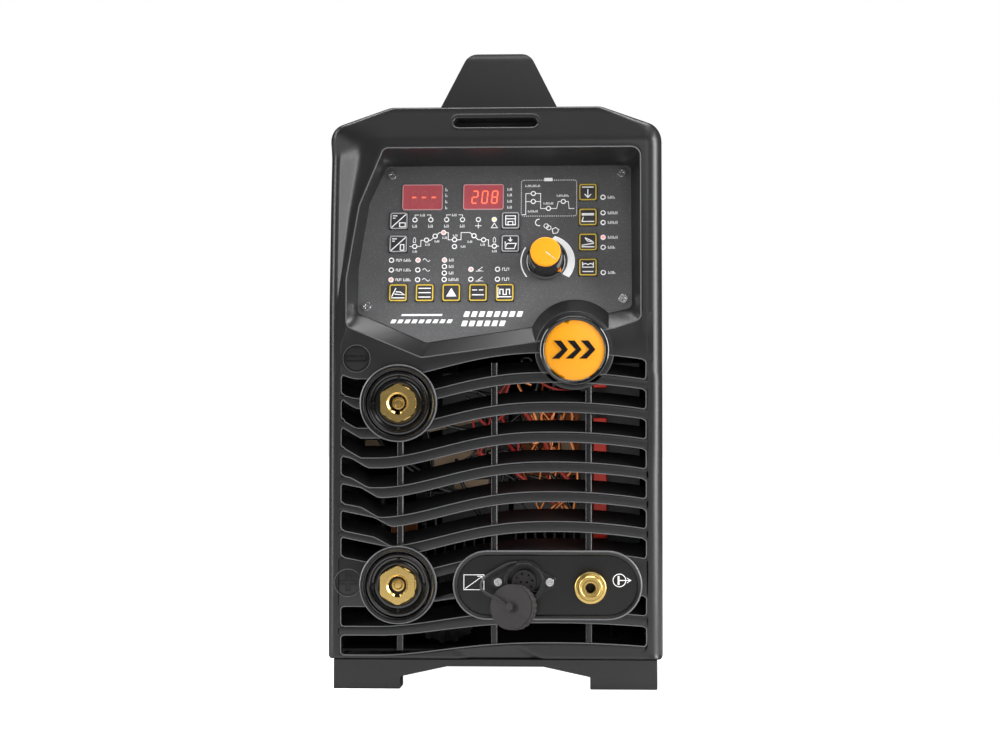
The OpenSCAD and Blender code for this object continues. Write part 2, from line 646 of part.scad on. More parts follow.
// Rear bezel with the fan, mains switch, cable gland, gas inlet and earth stud.
fan_z = foot_h + 208;
fan_open = fan_size / 2 - 4;
SWITCH = [58, top_z - 66];
GLAND = [62, foot_h + 62];
INLET = [-66, foot_h + 62];
STUD = [0, foot_h + 40];
rear_reach = 28.3; // as far as the dust cap stands out at the front
module rear_bezel() {
  color([0.13, 0.13, 0.14]) difference() {
    union() {
      mirror([0, 1, 0]) bezel_shell();
      on_rear(0, fan_z) ring(fan_open + 6, fan_open, -10, 2);
      on_rear(-SWITCH.x, SWITCH.y) slab(66, 66, -6, 1.5);
    }
    on_rear(0, fan_z) difference() {
      disc(fan_open, -11, 3);
      for (r = [14:12:fan_open]) ring(r + 1.6, r - 1.6, -2.6, -0.4);
      for (a = [0:45:135]) rotate([0, 0, a]) slab(2 * fan_open + 4, 3.2, -4.4, -0.8);
      disc(13, -4.4, 0);
    }
    on_rear(-SWITCH.x, SWITCH.y) disc(switch_shaft_r + 6, -far / 8, 5);
    on_rear(-GLAND.x, GLAND.y) disc(10.1, -far / 8, 5);
    on_rear(-INLET.x, INLET.y) disc(6.6, -far / 8, 5);
    on_rear(-STUD.x, STUD.y) disc(3.2, -far / 8, 5);
  }
}
fan_deep = 38;
fan_back = -10.2;
module fan_frame() {
  color([0.09, 0.09, 0.09]) on_rear(0, fan_z) difference() {
    union() {
      difference() {
        slab(fan_size, fan_size, fan_back - fan_deep, fan_back);
        disc(fan_size / 2 - 3, fan_back - fan_deep - 1, fan_back + 1);
      }
      disc(24, fan_back - fan_deep, fan_back - fan_deep + 5);
      for (a = [0:90:270]) rotate([0, 0, a + 20])
        translate([20, -2.5, fan_back - fan_deep]) cube([fan_size / 2 - 21, 5, 4]);
      disc(5.6, fan_back - fan_deep + 4, fan_back - fan_deep + 16);
    }
    disc(fan_pin_r + fit, fan_back - fan_deep + 2, fan_back + 1);
    for (s = [-1, 1], t = [-1, 1])
      translate([s * (fan_size / 2 - 7.5), t * (fan_size / 2 - 7.5), 0]) disc(2.2, -far / 3, 1);
  }
}
fan_pin_r = 2;
module fan_rotor() {
  hub = 24;
  blade = fan_size / 2 - 5 - hub;
  lo = fan_back - fan_deep + 8;
  color([0.14, 0.14, 0.14]) on_rear(0, fan_z) {
    difference() {
      disc(hub, lo, fan_back - 3);
      disc(hub - 2.5, lo - 1, fan_back - 5.5);
    }
    disc(fan_pin_r, fan_back - fan_deep + 3, fan_back - 4);
    for (k = [0:6]) rotate([0, 0, 360 * k / 7]) intersection() {
      translate([hub - 1, 0, (lo + fan_back) / 2 - 1.5]) rotate([38, 0, 0])
        translate([0, -15, -1]) cube([blade, 30, 2]);
      disc(hub + blade, lo, fan_back - 3);
    }
  }
}
switch_shaft_r = 4;
module mains_switch_body() {
  color([0.12, 0.12, 0.12]) on_rear(-SWITCH.x, SWITCH.y) difference() {
    union() {
      slab(46, 46, -52, -6.2);
      disc(switch_shaft_r + 5.8, -7, 1.6);
    }
    disc(switch_shaft_r + fit, -30, 3);
  }
}
module mains_switch_knob() {
  color([0.05, 0.05, 0.05]) on_rear(-SWITCH.x, SWITCH.y) {
    disc(19, 2.4, 8);
    disc(switch_shaft_r, -28, 3);
    translate([-5, -17.5, 7]) cube([10, 35, 16]);
  }
}
module cable_gland() {
  color([0.1, 0.1, 0.1]) on_rear(-GLAND.x, GLAND.y) difference() {
    union() {
      disc(10, -22, 0);
      translate([0, 0, 0]) cylinder(r = 15, h = 7, $fn = 6);
      disc(13, 7, rear_reach - 10);
      disc(10.5, rear_reach - 11, rear_reach);
      translate([0, 0, -wall - 6]) cylinder(r = 15, h = 6, $fn = 6);
    }
    disc(gland_bore_r, -23, rear_reach + 1);
  }
}
module gas_inlet() {
  color("goldenrod") on_rear(-INLET.x, INLET.y) difference() {
    union() {
      disc(6.5, -22, 12);
      translate([0, 0, 0]) cylinder(r = 10, h = 5, $fn = 6);
      disc(5, 12, 24);
      for (k = [0:2]) translate([0, 0, 14 + 3.4 * k]) cylinder(r1 = 5.6, r2 = 4.6, h = 3);
      disc(4.5, -30, -22);
    }
    disc(2.5, -31, 25);
  }
}
module earth_stud() {
  color("silver") on_rear(-STUD.x, STUD.y) {
    disc(3, -12, 20);
    difference() {
      union() {
        cylinder(r = 6.3, h = 4, $fn = 6);
        disc(8, 4, 5.4);
        translate([0, 0, 5.4]) cylinder(r = 6.3, h = 4.6, $fn = 6);
      }
      disc(3, -1, 12);
    }
  }
}

// Power parts inside: sinks in the air duct, board over them, transformer and choke in front.
board_z = foot_h + 118;
board_y = front_y + 107;
filter_x = 62;
filter_y = front_y + 105;
module power_board() {
  color([0.1, 0.3, 0.18]) {
    translate([-100, board_y, board_z]) cube([190, case_d - 214, 1.6]);
    translate([filter_x, filter_y, foot_h + 80]) cube([46, 1.6, 140]);
    translate([-46, filter_y, foot_h + 92]) cube([52, 1.6, 120]);
    for (x = [-94.5, 86.4], y = [board_y + 10, rear_y - 118])
      translate([x, y, tray_z + 1.5]) cylinder(r = 3.4, h = board_z - tray_z - 1.5);
  }
}
module heat_sinks() {
  len_y = case_d - 270;
  color("silver") for (x = [-88, 8]) translate([x, front_y + 150, board_z - 52]) {
    translate([0, 0, 36]) cube([74, len_y, 8]);
    for (k = [0:9]) translate([1 + k * 7.8, 0, 0]) cube([1.8, len_y, 36.1]);
    for (k = [0:5]) translate([16, 14 + 36 * k, 43.9]) cube([42, 22, 8]);
  }
}
core_at = [40, front_y + 138, board_z + 23.7];
module transformer_core() {
  color([0.22, 0.22, 0.23]) translate(core_at) difference() {
    slab(64, 34, -22, 54);
    for (s = [-1, 1]) translate([s * 18, 0, 0]) slab(16, 40, -10, 42);
  }
}
module transformer_winding() {
  color([0.62, 0.3, 0.13]) translate(core_at) difference() {
    slab(50.5, 54, -9.5, 41.5);
    slab(20.2, 34.2, -11, 43);
  }
}
choke_at = [-40, front_y + 74, foot_h + 34];
module output_choke() {
  color([0.6, 0.32, 0.12]) translate(choke_at) rotate([90, 0, 0]) {
    ring(26, 12, -20, 20);
    for (a = [0:24:336]) rotate([0, 0, a]) translate([19, 0, 0]) slab(17, 4.4, -22.5, 22.5);
  }
}
module bulk_capacitors() {
  color([0.12, 0.13, 0.16]) for (x = [-70, -30, 10], y = [0, 44])
    translate([x, front_y + 236 + y, board_z + 1.6]) disc(17.5, 0, 52);
}
module film_capacitors() {
  color([0.75, 0.12, 0.08]) for (k = [0:6])
    translate([filter_x + 10, filter_y - 17, foot_h + 84 + 19.4 * k]) cube([10.4, 17, 15.4]);
}
module busbars() {
  color([0.75, 0.45, 0.22]) for (p = socket_at) {
    translate([p.x - 10, front_y + 44.2, p.y - 9]) cube([20, 3, 60]);
    translate([p.x - 10, front_y + 44.2, p.y + 48]) cube([20, 56, 3]);
  }
}
VALVE = [-INLET.x + 34, rear_y - bezel_depth - 38, tray_z + 1.52];
module gas_valve() {
  color([0.7, 0.6, 0.35]) translate(VALVE) {
    slab(26, 32, 0, 18);
    slab(22, 22, 18, 50);
  }
}
port_z = VALVE.z + 9; // middle of the valve's ports
lead = 4;            // step of the straight ends of a hose
function ahead(x, y, z, s) = [for (k = [0:2]) [x, y + s * lead * k, z]];
function behind(x, y, z, s) = [for (k = [2:-1:0]) [x, y + s * lead * k, z]];
HOSE_IN = concat(
  ahead(-INLET.x, rear_y - 30.1, INLET.y, -1),
  [[VALVE.x - 17, VALVE.y + 43, VALVE.z + 32]],
  behind(VALVE.x, VALVE.y + 16.1, port_z, 1));
HOSE_OUT = concat(
  ahead(VALVE.x, VALVE.y - 16.1, port_z, -1),
  [[102, VALVE.y - 50, port_z], [104, 60, VALVE.z + 6], [104, -60, VALVE.z + 6],
   [104, front_y + 120, VALVE.z + 8], [98, front_y + 69, gas_at.y - 6],
   [80, front_y + 47, gas_at.y - 1]],
  behind(gas_at.x, front_y + 26.1, gas_at.y, 1));
module gas_hose() {
  color([0.1, 0.1, 0.12]) for (h = [HOSE_IN, HOSE_OUT]) tube(mid_curve(h, 3), 3.6);
}

front_bezel();
control_plate();
fascia_screws();
display_windows();
led_lenses();
control_board();
encoder_body();
badge_ring();
badge_disc();
socket_insulators();
panel_sockets();
connector_plate();
remote_socket_shell();
remote_socket_insert();
remote_socket_screws();
gas_outlet();
chassis_tray();
left_side_panel();
right_side_panel();
top_panel();
carry_handle();
front_foot();
rear_foot();
casing_screws();
rear_bezel();
fan_frame();
fan_rotor();
mains_switch_body();
mains_switch_knob();
cable_gland();
gas_inlet();
earth_stud();
power_board();
heat_sinks();
transformer_core();
transformer_winding();
output_choke();
bulk_capacitors();
film_capacitors();
busbars();
gas_valve();
gas_hose();
dial_knob();
dial_cap();
encoder_shaft();
dust_cap();
cap_tether();
key(0, key_grey);  // key_select_up
key(2, key_grey);  // key_select_down
key(1, key_grey);  // key_save
key(3, key_grey);  // key_load
key(4, key_yellow);  // key_process
key(5, key_yellow);  // key_waveform
key(6, key_yellow);  // key_trigger_mode
key(7, key_yellow);  // key_hf_start
key(8, key_yellow);  // key_pulse
key(9, key_yellow);  // key_vrd
key(10, key_yellow);  // key_stick
key(11, key_yellow);  // key_pedal
key(12, key_yellow);  // key_cooler
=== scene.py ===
# %% [markdown]
# # An inverter welding machine
# This notebook builds the look of a TIG welding machine around its CAD frame.
# The CAD gives exact sizes and moving bodies. The pieces made here give the moulded
# front its rounded edges, louvres, rings, printed signs and surface texture.
# The big shapes are numpy surfaces: rows of points carried along a path.

# %% Tools and the CAD frame
import json
import math
import bpy
import bmesh
import numpy as np
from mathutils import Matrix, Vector

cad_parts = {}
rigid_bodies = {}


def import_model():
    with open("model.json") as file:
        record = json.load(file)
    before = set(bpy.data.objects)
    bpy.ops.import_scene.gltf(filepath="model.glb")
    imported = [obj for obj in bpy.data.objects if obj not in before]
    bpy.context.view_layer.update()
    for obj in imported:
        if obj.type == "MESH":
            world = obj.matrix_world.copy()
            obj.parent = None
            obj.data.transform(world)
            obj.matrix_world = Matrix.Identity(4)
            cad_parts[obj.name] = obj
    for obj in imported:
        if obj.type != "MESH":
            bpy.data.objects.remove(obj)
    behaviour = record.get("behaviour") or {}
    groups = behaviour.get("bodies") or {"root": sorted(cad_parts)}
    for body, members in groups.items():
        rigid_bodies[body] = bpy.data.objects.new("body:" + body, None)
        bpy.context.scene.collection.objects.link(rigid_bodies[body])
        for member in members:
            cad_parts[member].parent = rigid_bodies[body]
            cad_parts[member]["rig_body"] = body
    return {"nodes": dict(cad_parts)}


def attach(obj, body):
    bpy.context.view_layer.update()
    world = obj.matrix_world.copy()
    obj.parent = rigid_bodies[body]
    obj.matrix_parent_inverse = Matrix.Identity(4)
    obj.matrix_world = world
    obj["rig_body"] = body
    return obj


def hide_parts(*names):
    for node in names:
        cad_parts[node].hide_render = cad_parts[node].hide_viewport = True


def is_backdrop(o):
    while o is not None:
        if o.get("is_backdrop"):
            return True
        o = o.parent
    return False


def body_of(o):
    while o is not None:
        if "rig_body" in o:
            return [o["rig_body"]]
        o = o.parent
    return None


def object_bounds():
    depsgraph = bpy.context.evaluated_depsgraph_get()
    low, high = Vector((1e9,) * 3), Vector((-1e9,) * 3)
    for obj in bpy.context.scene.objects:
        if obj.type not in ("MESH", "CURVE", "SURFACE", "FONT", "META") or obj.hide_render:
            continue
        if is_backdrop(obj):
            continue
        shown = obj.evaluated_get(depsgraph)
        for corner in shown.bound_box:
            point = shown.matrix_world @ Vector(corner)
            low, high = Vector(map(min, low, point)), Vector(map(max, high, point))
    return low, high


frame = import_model()
size_at_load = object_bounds()
MM = 0.001

# %% [markdown]
# ## Sizes
# Millimetres, z up, the front faces -y. The same numbers as the CAD part, so that the
# pieces fit its walls, slots and bosses.

# %% Main sizes
FRONT, TOP, FOOT, HALF = -255.0, 428.0, 22.0, 122.5
CREASE, LEAN = 402.0, 10.0
TILT = math.radians(14)
SOCKETS = [(-70.5, 208.5), (-70.5, 76.0)]
BADGE, PLATE = (58.2, 247.0), (38.3, 76.0)
GAS = (69.6, 75.0)
DIAL = (37.0, 65.8)
MINUS_AT, PLUS_AT = (-101.6, 241.3), (-107.6, 77.3)
SLOT_H, SLOT_L, SLOT_R = 14.6, -113.1, 110.4
SLOT_PITCH = 21.75
BAR_L, BAR_R = -114.6, 111.9
RIBS = (-69.7, -0.7, 68.3)


def ease(t):
    """Smooth step from 0 to 1: 3 t squared minus 2 t cubed, with t held in 0..1."""
    t = np.clip(t, 0, 1)
    return t * t * (3 - 2 * t)


def wave(x):
    """How far the wave has dropped at x: a rounded fall left of the crest, a parabola right of it."""
    x = np.asarray(x, float)
    left = 19 * ease((np.maximum(44 - x, 0) / 129) ** 1.35)
    return np.where(x > 44, 0.00118 * (x - 44) ** 2, left)


def rise(x, i):
    """How far the left end of slot i is stepped up: a short ramp, then a gentle slope to the edge."""
    end = -103 + 1.1 * i * i
    return 7.3 * np.clip((end - x) / 12.5, 0, 1) + 0.2 * np.maximum(end - 12.5 - x, 0)


def slot_top(i, x):
    """Height of the upper edge of slot i at x."""
    amount = {8: 0.6, 9: 0.5}.get(i, 1.0)
    step = {0: 0.5, 7: 0, 8: 0, 9: 0}.get(i, 1)
    return BADGE[1] - 1.5 - SLOT_PITCH * i - (1 if i == 9 else 0) - amount * wave(x) + step * rise(x, i)


def on_panel(u, v, w):
    """A point of the leaning panel: u to the right, v up its face, w out of it."""
    u, v, w = np.broadcast_arrays(np.asarray(u, float), v, w)
    return np.stack([u, -249 + v * math.sin(TILT) - w * math.cos(TILT),
                     250 + v * math.cos(TILT) + w * math.sin(TILT)], -1)


def on_front(x, z, w):
    """A point of the front face: x to the right, z up, w out of it."""
    x, z, w = np.broadcast_arrays(np.asarray(x, float), z, w)
    return np.stack([x, FRONT - w, z], -1)


print("slot 3 runs from z =", slot_top(3, -113).round(1), "to", slot_top(3, 110).round(1))

# %% [markdown]
# ## Building surfaces
# A piece is a stack of closed loops of points. Neighbouring loops are joined by quads.
# A ring joins its last loop to its first; an open stack gets a face at each end.

# %% Mesh builders
def new_object(name, data):
    """An object in the scene that shows data."""
    obj = bpy.data.objects.new(name, data)
    bpy.context.scene.collection.objects.link(obj)
    return obj


def add_piece(name, surface, look, body="casing", stands_for=(), angle=32):
    """An object from points in millimetres, welded, with faces turned outward, hung on its body."""
    verts, faces = surface
    mesh = bpy.data.meshes.new(name)
    mesh.from_pydata((np.asarray(verts) * MM).tolist(), [], faces)
    bm = bmesh.new()
    bm.from_mesh(mesh)
    bmesh.ops.remove_doubles(bm, verts=bm.verts, dist=2e-6)
    bmesh.ops.dissolve_degenerate(bm, edges=bm.edges, dist=1e-7)
    bmesh.ops.recalc_face_normals(bm, faces=bm.faces)
    bm.to_mesh(mesh)
    bm.free()
    mesh.shade_smooth()
    mesh.set_sharp_from_angle(angle=math.radians(angle))
    mesh.materials.append(MAT[look])
    obj = new_object(name, mesh)
    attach(obj, body)
    if stands_for:
        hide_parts(*stands_for)
    return obj


def loft(rows, ring=False):
    """Points and faces of loops carried along a path. rows has shape (stations, points, 3)."""
    rows = np.asarray(rows, float)
    n, m = rows.shape[:2]
    i = np.arange(n if ring else n - 1)[:, None]
    j = np.arange(m)[None, :]
    a, b = i * m + j, i * m + (j + 1) % m
    c, d = ((i + 1) % n) * m + (j + 1) % m, ((i + 1) % n) * m + j
    faces = np.stack([a, b, c, d], -1).reshape(-1, 4).tolist()
    if not ring:
        faces += [list(range(m))[::-1], [(n - 1) * m + k for k in range(m)]]
    return rows.reshape(-1, 3), faces


def join(parts):
    """One list of points and faces from several."""
    verts, faces, base = [], [], 0
    for v, f in parts:
        verts.append(np.asarray(v))
        faces += [[k + base for k in face] for face in f]
        base += len(v)
    return np.concatenate(verts), faces


def lathe(profile, place, sides=96):
    """A profile of (radius, height) points turned round an axis; place maps (x, y, w) to the machine."""
    p = np.asarray(profile, float)
    a = np.linspace(0, 2 * np.pi, sides, endpoint=False)
    return loft(place(p[None, :, 0] * np.cos(a)[:, None], p[None, :, 0] * np.sin(a)[:, None],
                      np.broadcast_to(p[None, :, 1], (sides, len(p)))), ring=True)


def at_front(c):
    return lambda x, y, w: on_front(x + c[0], y + c[1], w)


def at_panel(c):
    return lambda x, y, w: on_panel(x + c[0], y + c[1], w)


def corner(points, radii, n=6):
    """A closed polygon with each corner replaced by an arc of its radius."""
    p = np.asarray(points, float)
    out = []
    for a, b, c, r in zip(np.roll(p, 1, 0), p, np.roll(p, -1, 0), radii):
        u, v = (a - b) / np.linalg.norm(a - b), (c - b) / np.linalg.norm(c - b)
        h = math.acos(np.clip(u @ v, -1, 1)) / 2
        mid = b + (u + v) / np.linalg.norm(u + v) * r / math.sin(h)
        s, e = b + u * r / math.tan(h) - mid, b + v * r / math.tan(h) - mid
        a0, a1 = math.atan2(s[1], s[0]), math.atan2(e[1], e[0])
        d = (a1 - a0 + math.pi) % (2 * math.pi) - math.pi
        t = a0 + d * np.linspace(0, 1, n + 1)
        out.append(mid + r * np.stack([np.cos(t), np.sin(t)], -1))
    return np.concatenate(out)


def dense(poly, step):
    """The same closed polygon with no side longer than step."""
    out = []
    for a, b in zip(poly, np.roll(poly, -1, 0)):
        k = max(1, int(np.ceil(np.linalg.norm(b - a) / step)))
        out.append(a + (b - a) * (np.arange(k) / k)[:, None])
    return np.concatenate(out)


def stroke(line, width, place, closed=False, low=-0.05, high=0.14):
    """A thin raised line along 2-D points, with mitred corners, set down by place."""
    p = np.asarray(line, float)
    fwd, back = np.roll(p, -1, 0) - p, p - np.roll(p, 1, 0)
    if not closed:
        fwd[-1], back[0] = back[-1], fwd[0]
    fwd /= np.linalg.norm(fwd, axis=1)[:, None]
    back /= np.linalg.norm(back, axis=1)[:, None]
    nrm = np.stack([-(fwd + back)[:, 1], (fwd + back)[:, 0]], -1)
    nrm /= np.maximum(np.linalg.norm(nrm, axis=1), 1e-6)[:, None]
    grow = 1 / np.clip(np.abs((nrm * np.stack([-fwd[:, 1], fwd[:, 0]], -1)).sum(1)), 0.5, 1)
    off = nrm * (grow * width / 2)[:, None]
    lo, hi = p - off, p + off
    rows = np.stack([place(*lo.T, low), place(*lo.T, high), place(*hi.T, high), place(*hi.T, low)], 1)
    return loft(rows, ring=closed)


def patch(poly, place, low=-0.05, high=0.14):
    """A thin raised flat shape with the outline poly."""
    p = np.asarray(poly, float)
    return loft(np.stack([place(*p.T, low), place(*p.T, high)]))


def circle(c, r, n=24, a0=0, a1=360):
    t = np.radians(np.linspace(a0, a1, n, endpoint=(a1 - a0) < 360))
    return np.stack([c[0] + r * np.cos(t), c[1] + r * np.sin(t)], -1)


# %% [markdown]
# ## Materials
# Every surface gets a procedural finish: fine grain for the moulding, speckle for the panel film,
# coarser grain for brass. Noise is read in object coordinates.

# %% Materials
MAT = {}


def finish_of(name, colour, rough=0.5, metal=0.0, grain=900.0, bump=0.15, vary=0.12, coat=0.0,
              glow=None, speck=0.0, spec=0.5):
    """A surface with noise in its colour, roughness and bump; speck adds light dots."""
    m = bpy.data.materials.new(name)
    m.use_nodes = True
    nt = m.node_tree
    b = nt.nodes["Principled BSDF"]
    b.inputs["Metallic"].default_value = metal
    b.inputs["Coat Weight"].default_value = coat
    b.inputs["Specular IOR Level"].default_value = spec

    def node(kind, **values):
        """A node of this material with some of its inputs set."""
        made = nt.nodes.new("ShaderNode" + kind)
        for key, value in values.items():
            made.inputs[key.replace("_", " ")].default_value = value
        return made

    link = nt.links.new
    co = node("TexCoord")
    fine = node("TexNoise", Scale=grain, Detail=3)
    broad = node("TexNoise", Scale=22)
    for t in (fine, broad):
        link(co.outputs["Object"], t.inputs["Vector"])
    ramp = node("MapRange", To_Min=1 - vary, To_Max=1 + vary)
    link(broad.outputs["Fac"], ramp.inputs["Value"])
    tone = node("VectorMath")
    tone.operation = "SCALE"
    tone.inputs[0].default_value = colour
    link(ramp.outputs["Result"], tone.inputs["Scale"])
    last = tone.outputs["Vector"]
    if speck:
        dots = node("MapRange", From_Min=0.56, From_Max=0.75, To_Max=speck)
        link(fine.outputs["Fac"], dots.inputs["Value"])
        add = node("VectorMath")
        link(last, add.inputs[0])
        link(dots.outputs["Result"], add.inputs[1])
        last = add.outputs["Vector"]
    link(last, b.inputs["Base Color"])
    rr = node("MapRange", To_Min=rough * 0.85, To_Max=min(1, rough * 1.15))
    link(fine.outputs["Fac"], rr.inputs["Value"])
    link(rr.outputs["Result"], b.inputs["Roughness"])
    if bump:
        bp = node("Bump", Strength=bump, Distance=0.0004)
        link(fine.outputs["Fac"], bp.inputs["Height"])
        link(bp.outputs["Normal"], b.inputs["Normal"])
    if glow:
        b.inputs["Emission Color"].default_value = (*glow[0], 1)
        b.inputs["Emission Strength"].default_value = glow[1]
    MAT[name] = m
    return m


finish_of("moulding", (0.0125, 0.0125, 0.0132), 0.32, grain=1500, bump=0.1)
# A pale grey for thin strips laid on edges: painted highlight where light would catch the rounded edges.
finish_of("painted_highlight", (0.13, 0.13, 0.135), 0.26, grain=1500, bump=0.04)
finish_of("fascia", (0.105, 0.105, 0.108), 0.5, grain=1400, bump=0.1, speck=0.12)
finish_of("gloss_black", (0.007, 0.007, 0.008), 0.14, coat=0.4, bump=0.02)
finish_of("satin_black", (0.007, 0.007, 0.008), 0.26, bump=0.06)
finish_of("plate_black", (0.003, 0.003, 0.0034), 0.3, bump=0.04)
finish_of("handle_black", (0.012, 0.012, 0.0125), 0.55, grain=900, bump=0.1, spec=0.3)
finish_of("paint", (0.028, 0.028, 0.03), 0.45, grain=700, bump=0.25)
finish_of("rubber", (0.026, 0.023, 0.023), 0.62, grain=600, bump=0.2)
finish_of("strap", (0.016, 0.015, 0.015), 0.5, bump=0.1)
finish_of("brass", (0.74, 0.52, 0.18), 0.26, 1.0, grain=300, bump=0.06, vary=0.15)
finish_of("brass_deep", (0.55, 0.39, 0.13), 0.3, 1.0, grain=300, bump=0.06, vary=0.15)
finish_of("brass_dark", (0.4, 0.25, 0.07), 0.4, 1.0, grain=300, bump=0.1)
finish_of("steel", (0.62, 0.62, 0.63), 0.26, 1.0, grain=400, bump=0.05)
finish_of("dark_steel", (0.12, 0.12, 0.12), 0.38, 1.0, bump=0.08)
finish_of("copper", (0.72, 0.27, 0.1), 0.3, 1.0, grain=260, bump=0.2, vary=0.4)
finish_of("copper_dark", (0.2, 0.07, 0.03), 0.45, 1.0, grain=260, bump=0.3, vary=0.5)
finish_of("board", (0.008, 0.012, 0.009), 0.4, grain=300, bump=0.3, vary=0.3)
finish_of("ferrite", (0.035, 0.034, 0.034), 0.7, grain=500, bump=0.3)
finish_of("sleeve", (0.02, 0.022, 0.03), 0.3)
finish_of("film_red", (0.8, 0.03, 0.01), 0.35, bump=0.05)
finish_of("wire_red", (0.35, 0.02, 0.012), 0.4, bump=0.05)
finish_of("card", (0.27, 0.19, 0.12), 0.7, grain=300, vary=0.3)
finish_of("yellow", (0.93, 0.36, 0.006), 0.38, grain=1200, bump=0.04, vary=0.05)
finish_of("orange", (0.95, 0.27, 0.006), 0.4, bump=0.02)
# White print with a faint white glow: the white is the print's own colour, the glow is painted light that
# brightens it.
finish_of("ink_with_painted_glow", (0.95, 0.95, 0.95), 0.5, bump=0.0, vary=0.03, glow=((1, 1, 1), 0.22))
finish_of("ink_dim", (0.5, 0.5, 0.51), 0.5, bump=0.0, vary=0.03)
finish_of("key_line", (0.78, 0.56, 0.06), 0.45, bump=0.0)
finish_of("key_face", (0.05, 0.048, 0.055), 0.4, grain=800, bump=0.1)
finish_of("window", (0.5, 0.10, 0.12), 0.2, bump=0.0, vary=0.2, glow=((0.55, 0.09, 0.10), 0.12))
finish_of("window_rim", (0.72, 0.40, 0.42), 0.3, bump=0.0)
finish_of("digit", (1.0, 0.2, 0.1), 0.4, bump=0.0, glow=((1.0, 0.16, 0.08), 1.0))
finish_of("digit_off", (0.52, 0.12, 0.13), 0.4, bump=0.0)
finish_of("lamp_off", (0.12, 0.11, 0.11), 0.25, bump=0.0)
finish_of("lamp_on", (0.95, 0.35, 0.32), 0.3, bump=0.0, glow=((1.0, 0.25, 0.2), 0.9))
finish_of("lamp_warm", (0.95, 0.6, 0.3), 0.3, bump=0.0, glow=((1.0, 0.5, 0.2), 0.8))
# Near-black for plates, sheets and discs put where there is only shade: painted shade.
finish_of("painted_shade", (0.002, 0.002, 0.002), 0.9, bump=0.0)
print("materials:", len(MAT))

# %% [markdown]
# ## The front moulding
# A large ring: an inner edge round the panel recess and the grille, an outer edge on
# the machine's outline. Each station carries one closed section from the inner wall over
# the face and the rounded outer edge to the back. The face leans back above the crease,
# and two long facets are cut into the left pillar.

# %% Height field of the face
def crease_x(z):
    """Where the ridge between the two left facets runs: nearer to the edge further down."""
    return np.interp(z, [230, 286, 350, 402], [-121.5, -115.5, -107, -98])


def depth(x, z):
    """How far the face lies behind the front plane."""
    lean = LEAN * np.maximum(z - CREASE, 0) / 26
    low = np.clip(z - CREASE + 2, 0, 4)
    lean = np.where(np.abs(z - CREASE) < 2, LEAN / 26 * low ** 2 / 8, lean)
    side = 0.42 * np.maximum(crease_x(z) - x, 0) * ease((z - 232) / 60)
    inner = np.interp(z, [250, 300, 354, 402], [-118, -113, -102, -84])
    bevel = 0.22 * np.clip(inner - x, 0, None) * ease((z - 255) / 50)
    drop = np.clip(34 - z, 0, 12)
    chin = 0.28 * drop * ease((x + 33 - 0.65 * drop) / 6) * ease((14 + 1.8 * drop - x) / 6)
    return lean + chin + (side + bevel) * (1 - ease((z - CREASE + 14) / 26))


def outline(inset):
    """The machine's outline with each of its six sides moved in by its own amount:
    bottom, right, right shoulder, top, left shoulder, left."""
    b, r, rs, t, ls, l = inset
    k = math.tan(math.radians(20.5))
    c = 1 / math.cos(math.radians(20.5))
    xr, xl, zt = HALF - r, -HALF + l, TOP - t
    flat_r = 78 + (t - rs * c) / k
    flat_l = -78 - (t - ls * c) / k
    sr = TOP - (xr - 78) * k - rs * c
    sl = TOP - (-xl - 78) * k - ls * c
    return corner([[xl, FOOT + b], [xr, FOOT + b], [xr, sr], [flat_r, zt], [flat_l, zt], [xl, sl]],
                  [3, 3, 14, 16, 16, 14], 8)


LIP = corner([[-82, 396.6], [106.7, 396.6], [106.7, 270], [88, 263.5], [58, 258],
              [29.5, 253.4], [-54, 242], [-109.5, 265], [-109.5, 300], [-100, 354]],
             [5, 7, 5, 3, 3, 3, 4, 6, 20, 10])
SIDE_R = np.array([2.2, 12.0, 3.0, 2.2, 3.0, 6.5])
per_corner = 9
full = outline(np.zeros(6))
corner_of = np.repeat(np.arange(6), per_corner)
part_of = np.tile(np.linspace(0, 1, per_corner), 6)
radius_at = SIDE_R[corner_of - 1] * (1 - ease(part_of)) + SIDE_R[corner_of] * ease(part_of)


def outer(k):
    """The outline rounded off to part k of each side's radius, with every side subdivided alike."""
    shape = outline(SIDE_R * k)
    out, rad = [], []
    for i in range(len(full)):
        j = (i + 1) % len(full)
        cuts = max(1, int(np.ceil(np.linalg.norm(full[j] - full[i]) / 3.0)))
        t = (np.arange(cuts) / cuts)[:, None]
        out.append(shape[i] + (shape[j] - shape[i]) * t)
        rad.append(radius_at[i] + (radius_at[j] - radius_at[i]) * t[:, 0])
    return np.concatenate(out), np.concatenate(rad)


xs = np.linspace(SLOT_R, SLOT_L, 90)
low_edge = np.stack([xs, slot_top(9, xs) - SLOT_H], -1)
lip_keys = np.array([[SLOT_L, 252], [-109.5, 262], [-109.5, 300], [-100, 354], [-83.5, 393.2], [-80, 396.6],
                     [99.5, 396.6], [103.2, 395.7], [105.8, 393.1], [106.7, 389.5], [106.7, 272], [108, 262],
                     [SLOT_R, 256]])
inner_poly = np.concatenate([low_edge, lip_keys])
rim, rim_r = outer(0.0)
mid = np.array([0.0, 215.0])
inner_fine = dense(inner_poly, 1.5)
ang = np.arctan2(*(inner_fine - mid).T[::-1])
order = np.argsort(ang)
rim_ang = np.arctan2(*(rim - mid).T[::-1])
inner_at = np.stack([np.interp(rim_ang, ang[order], inner_fine[order, k], period=2 * np.pi)
                     for k in (0, 1)], -1)
for key in lip_keys:
    inner_at[np.argmin(np.linalg.norm(inner_at - key, axis=1))] = key
print("front ring stations:", len(rim))

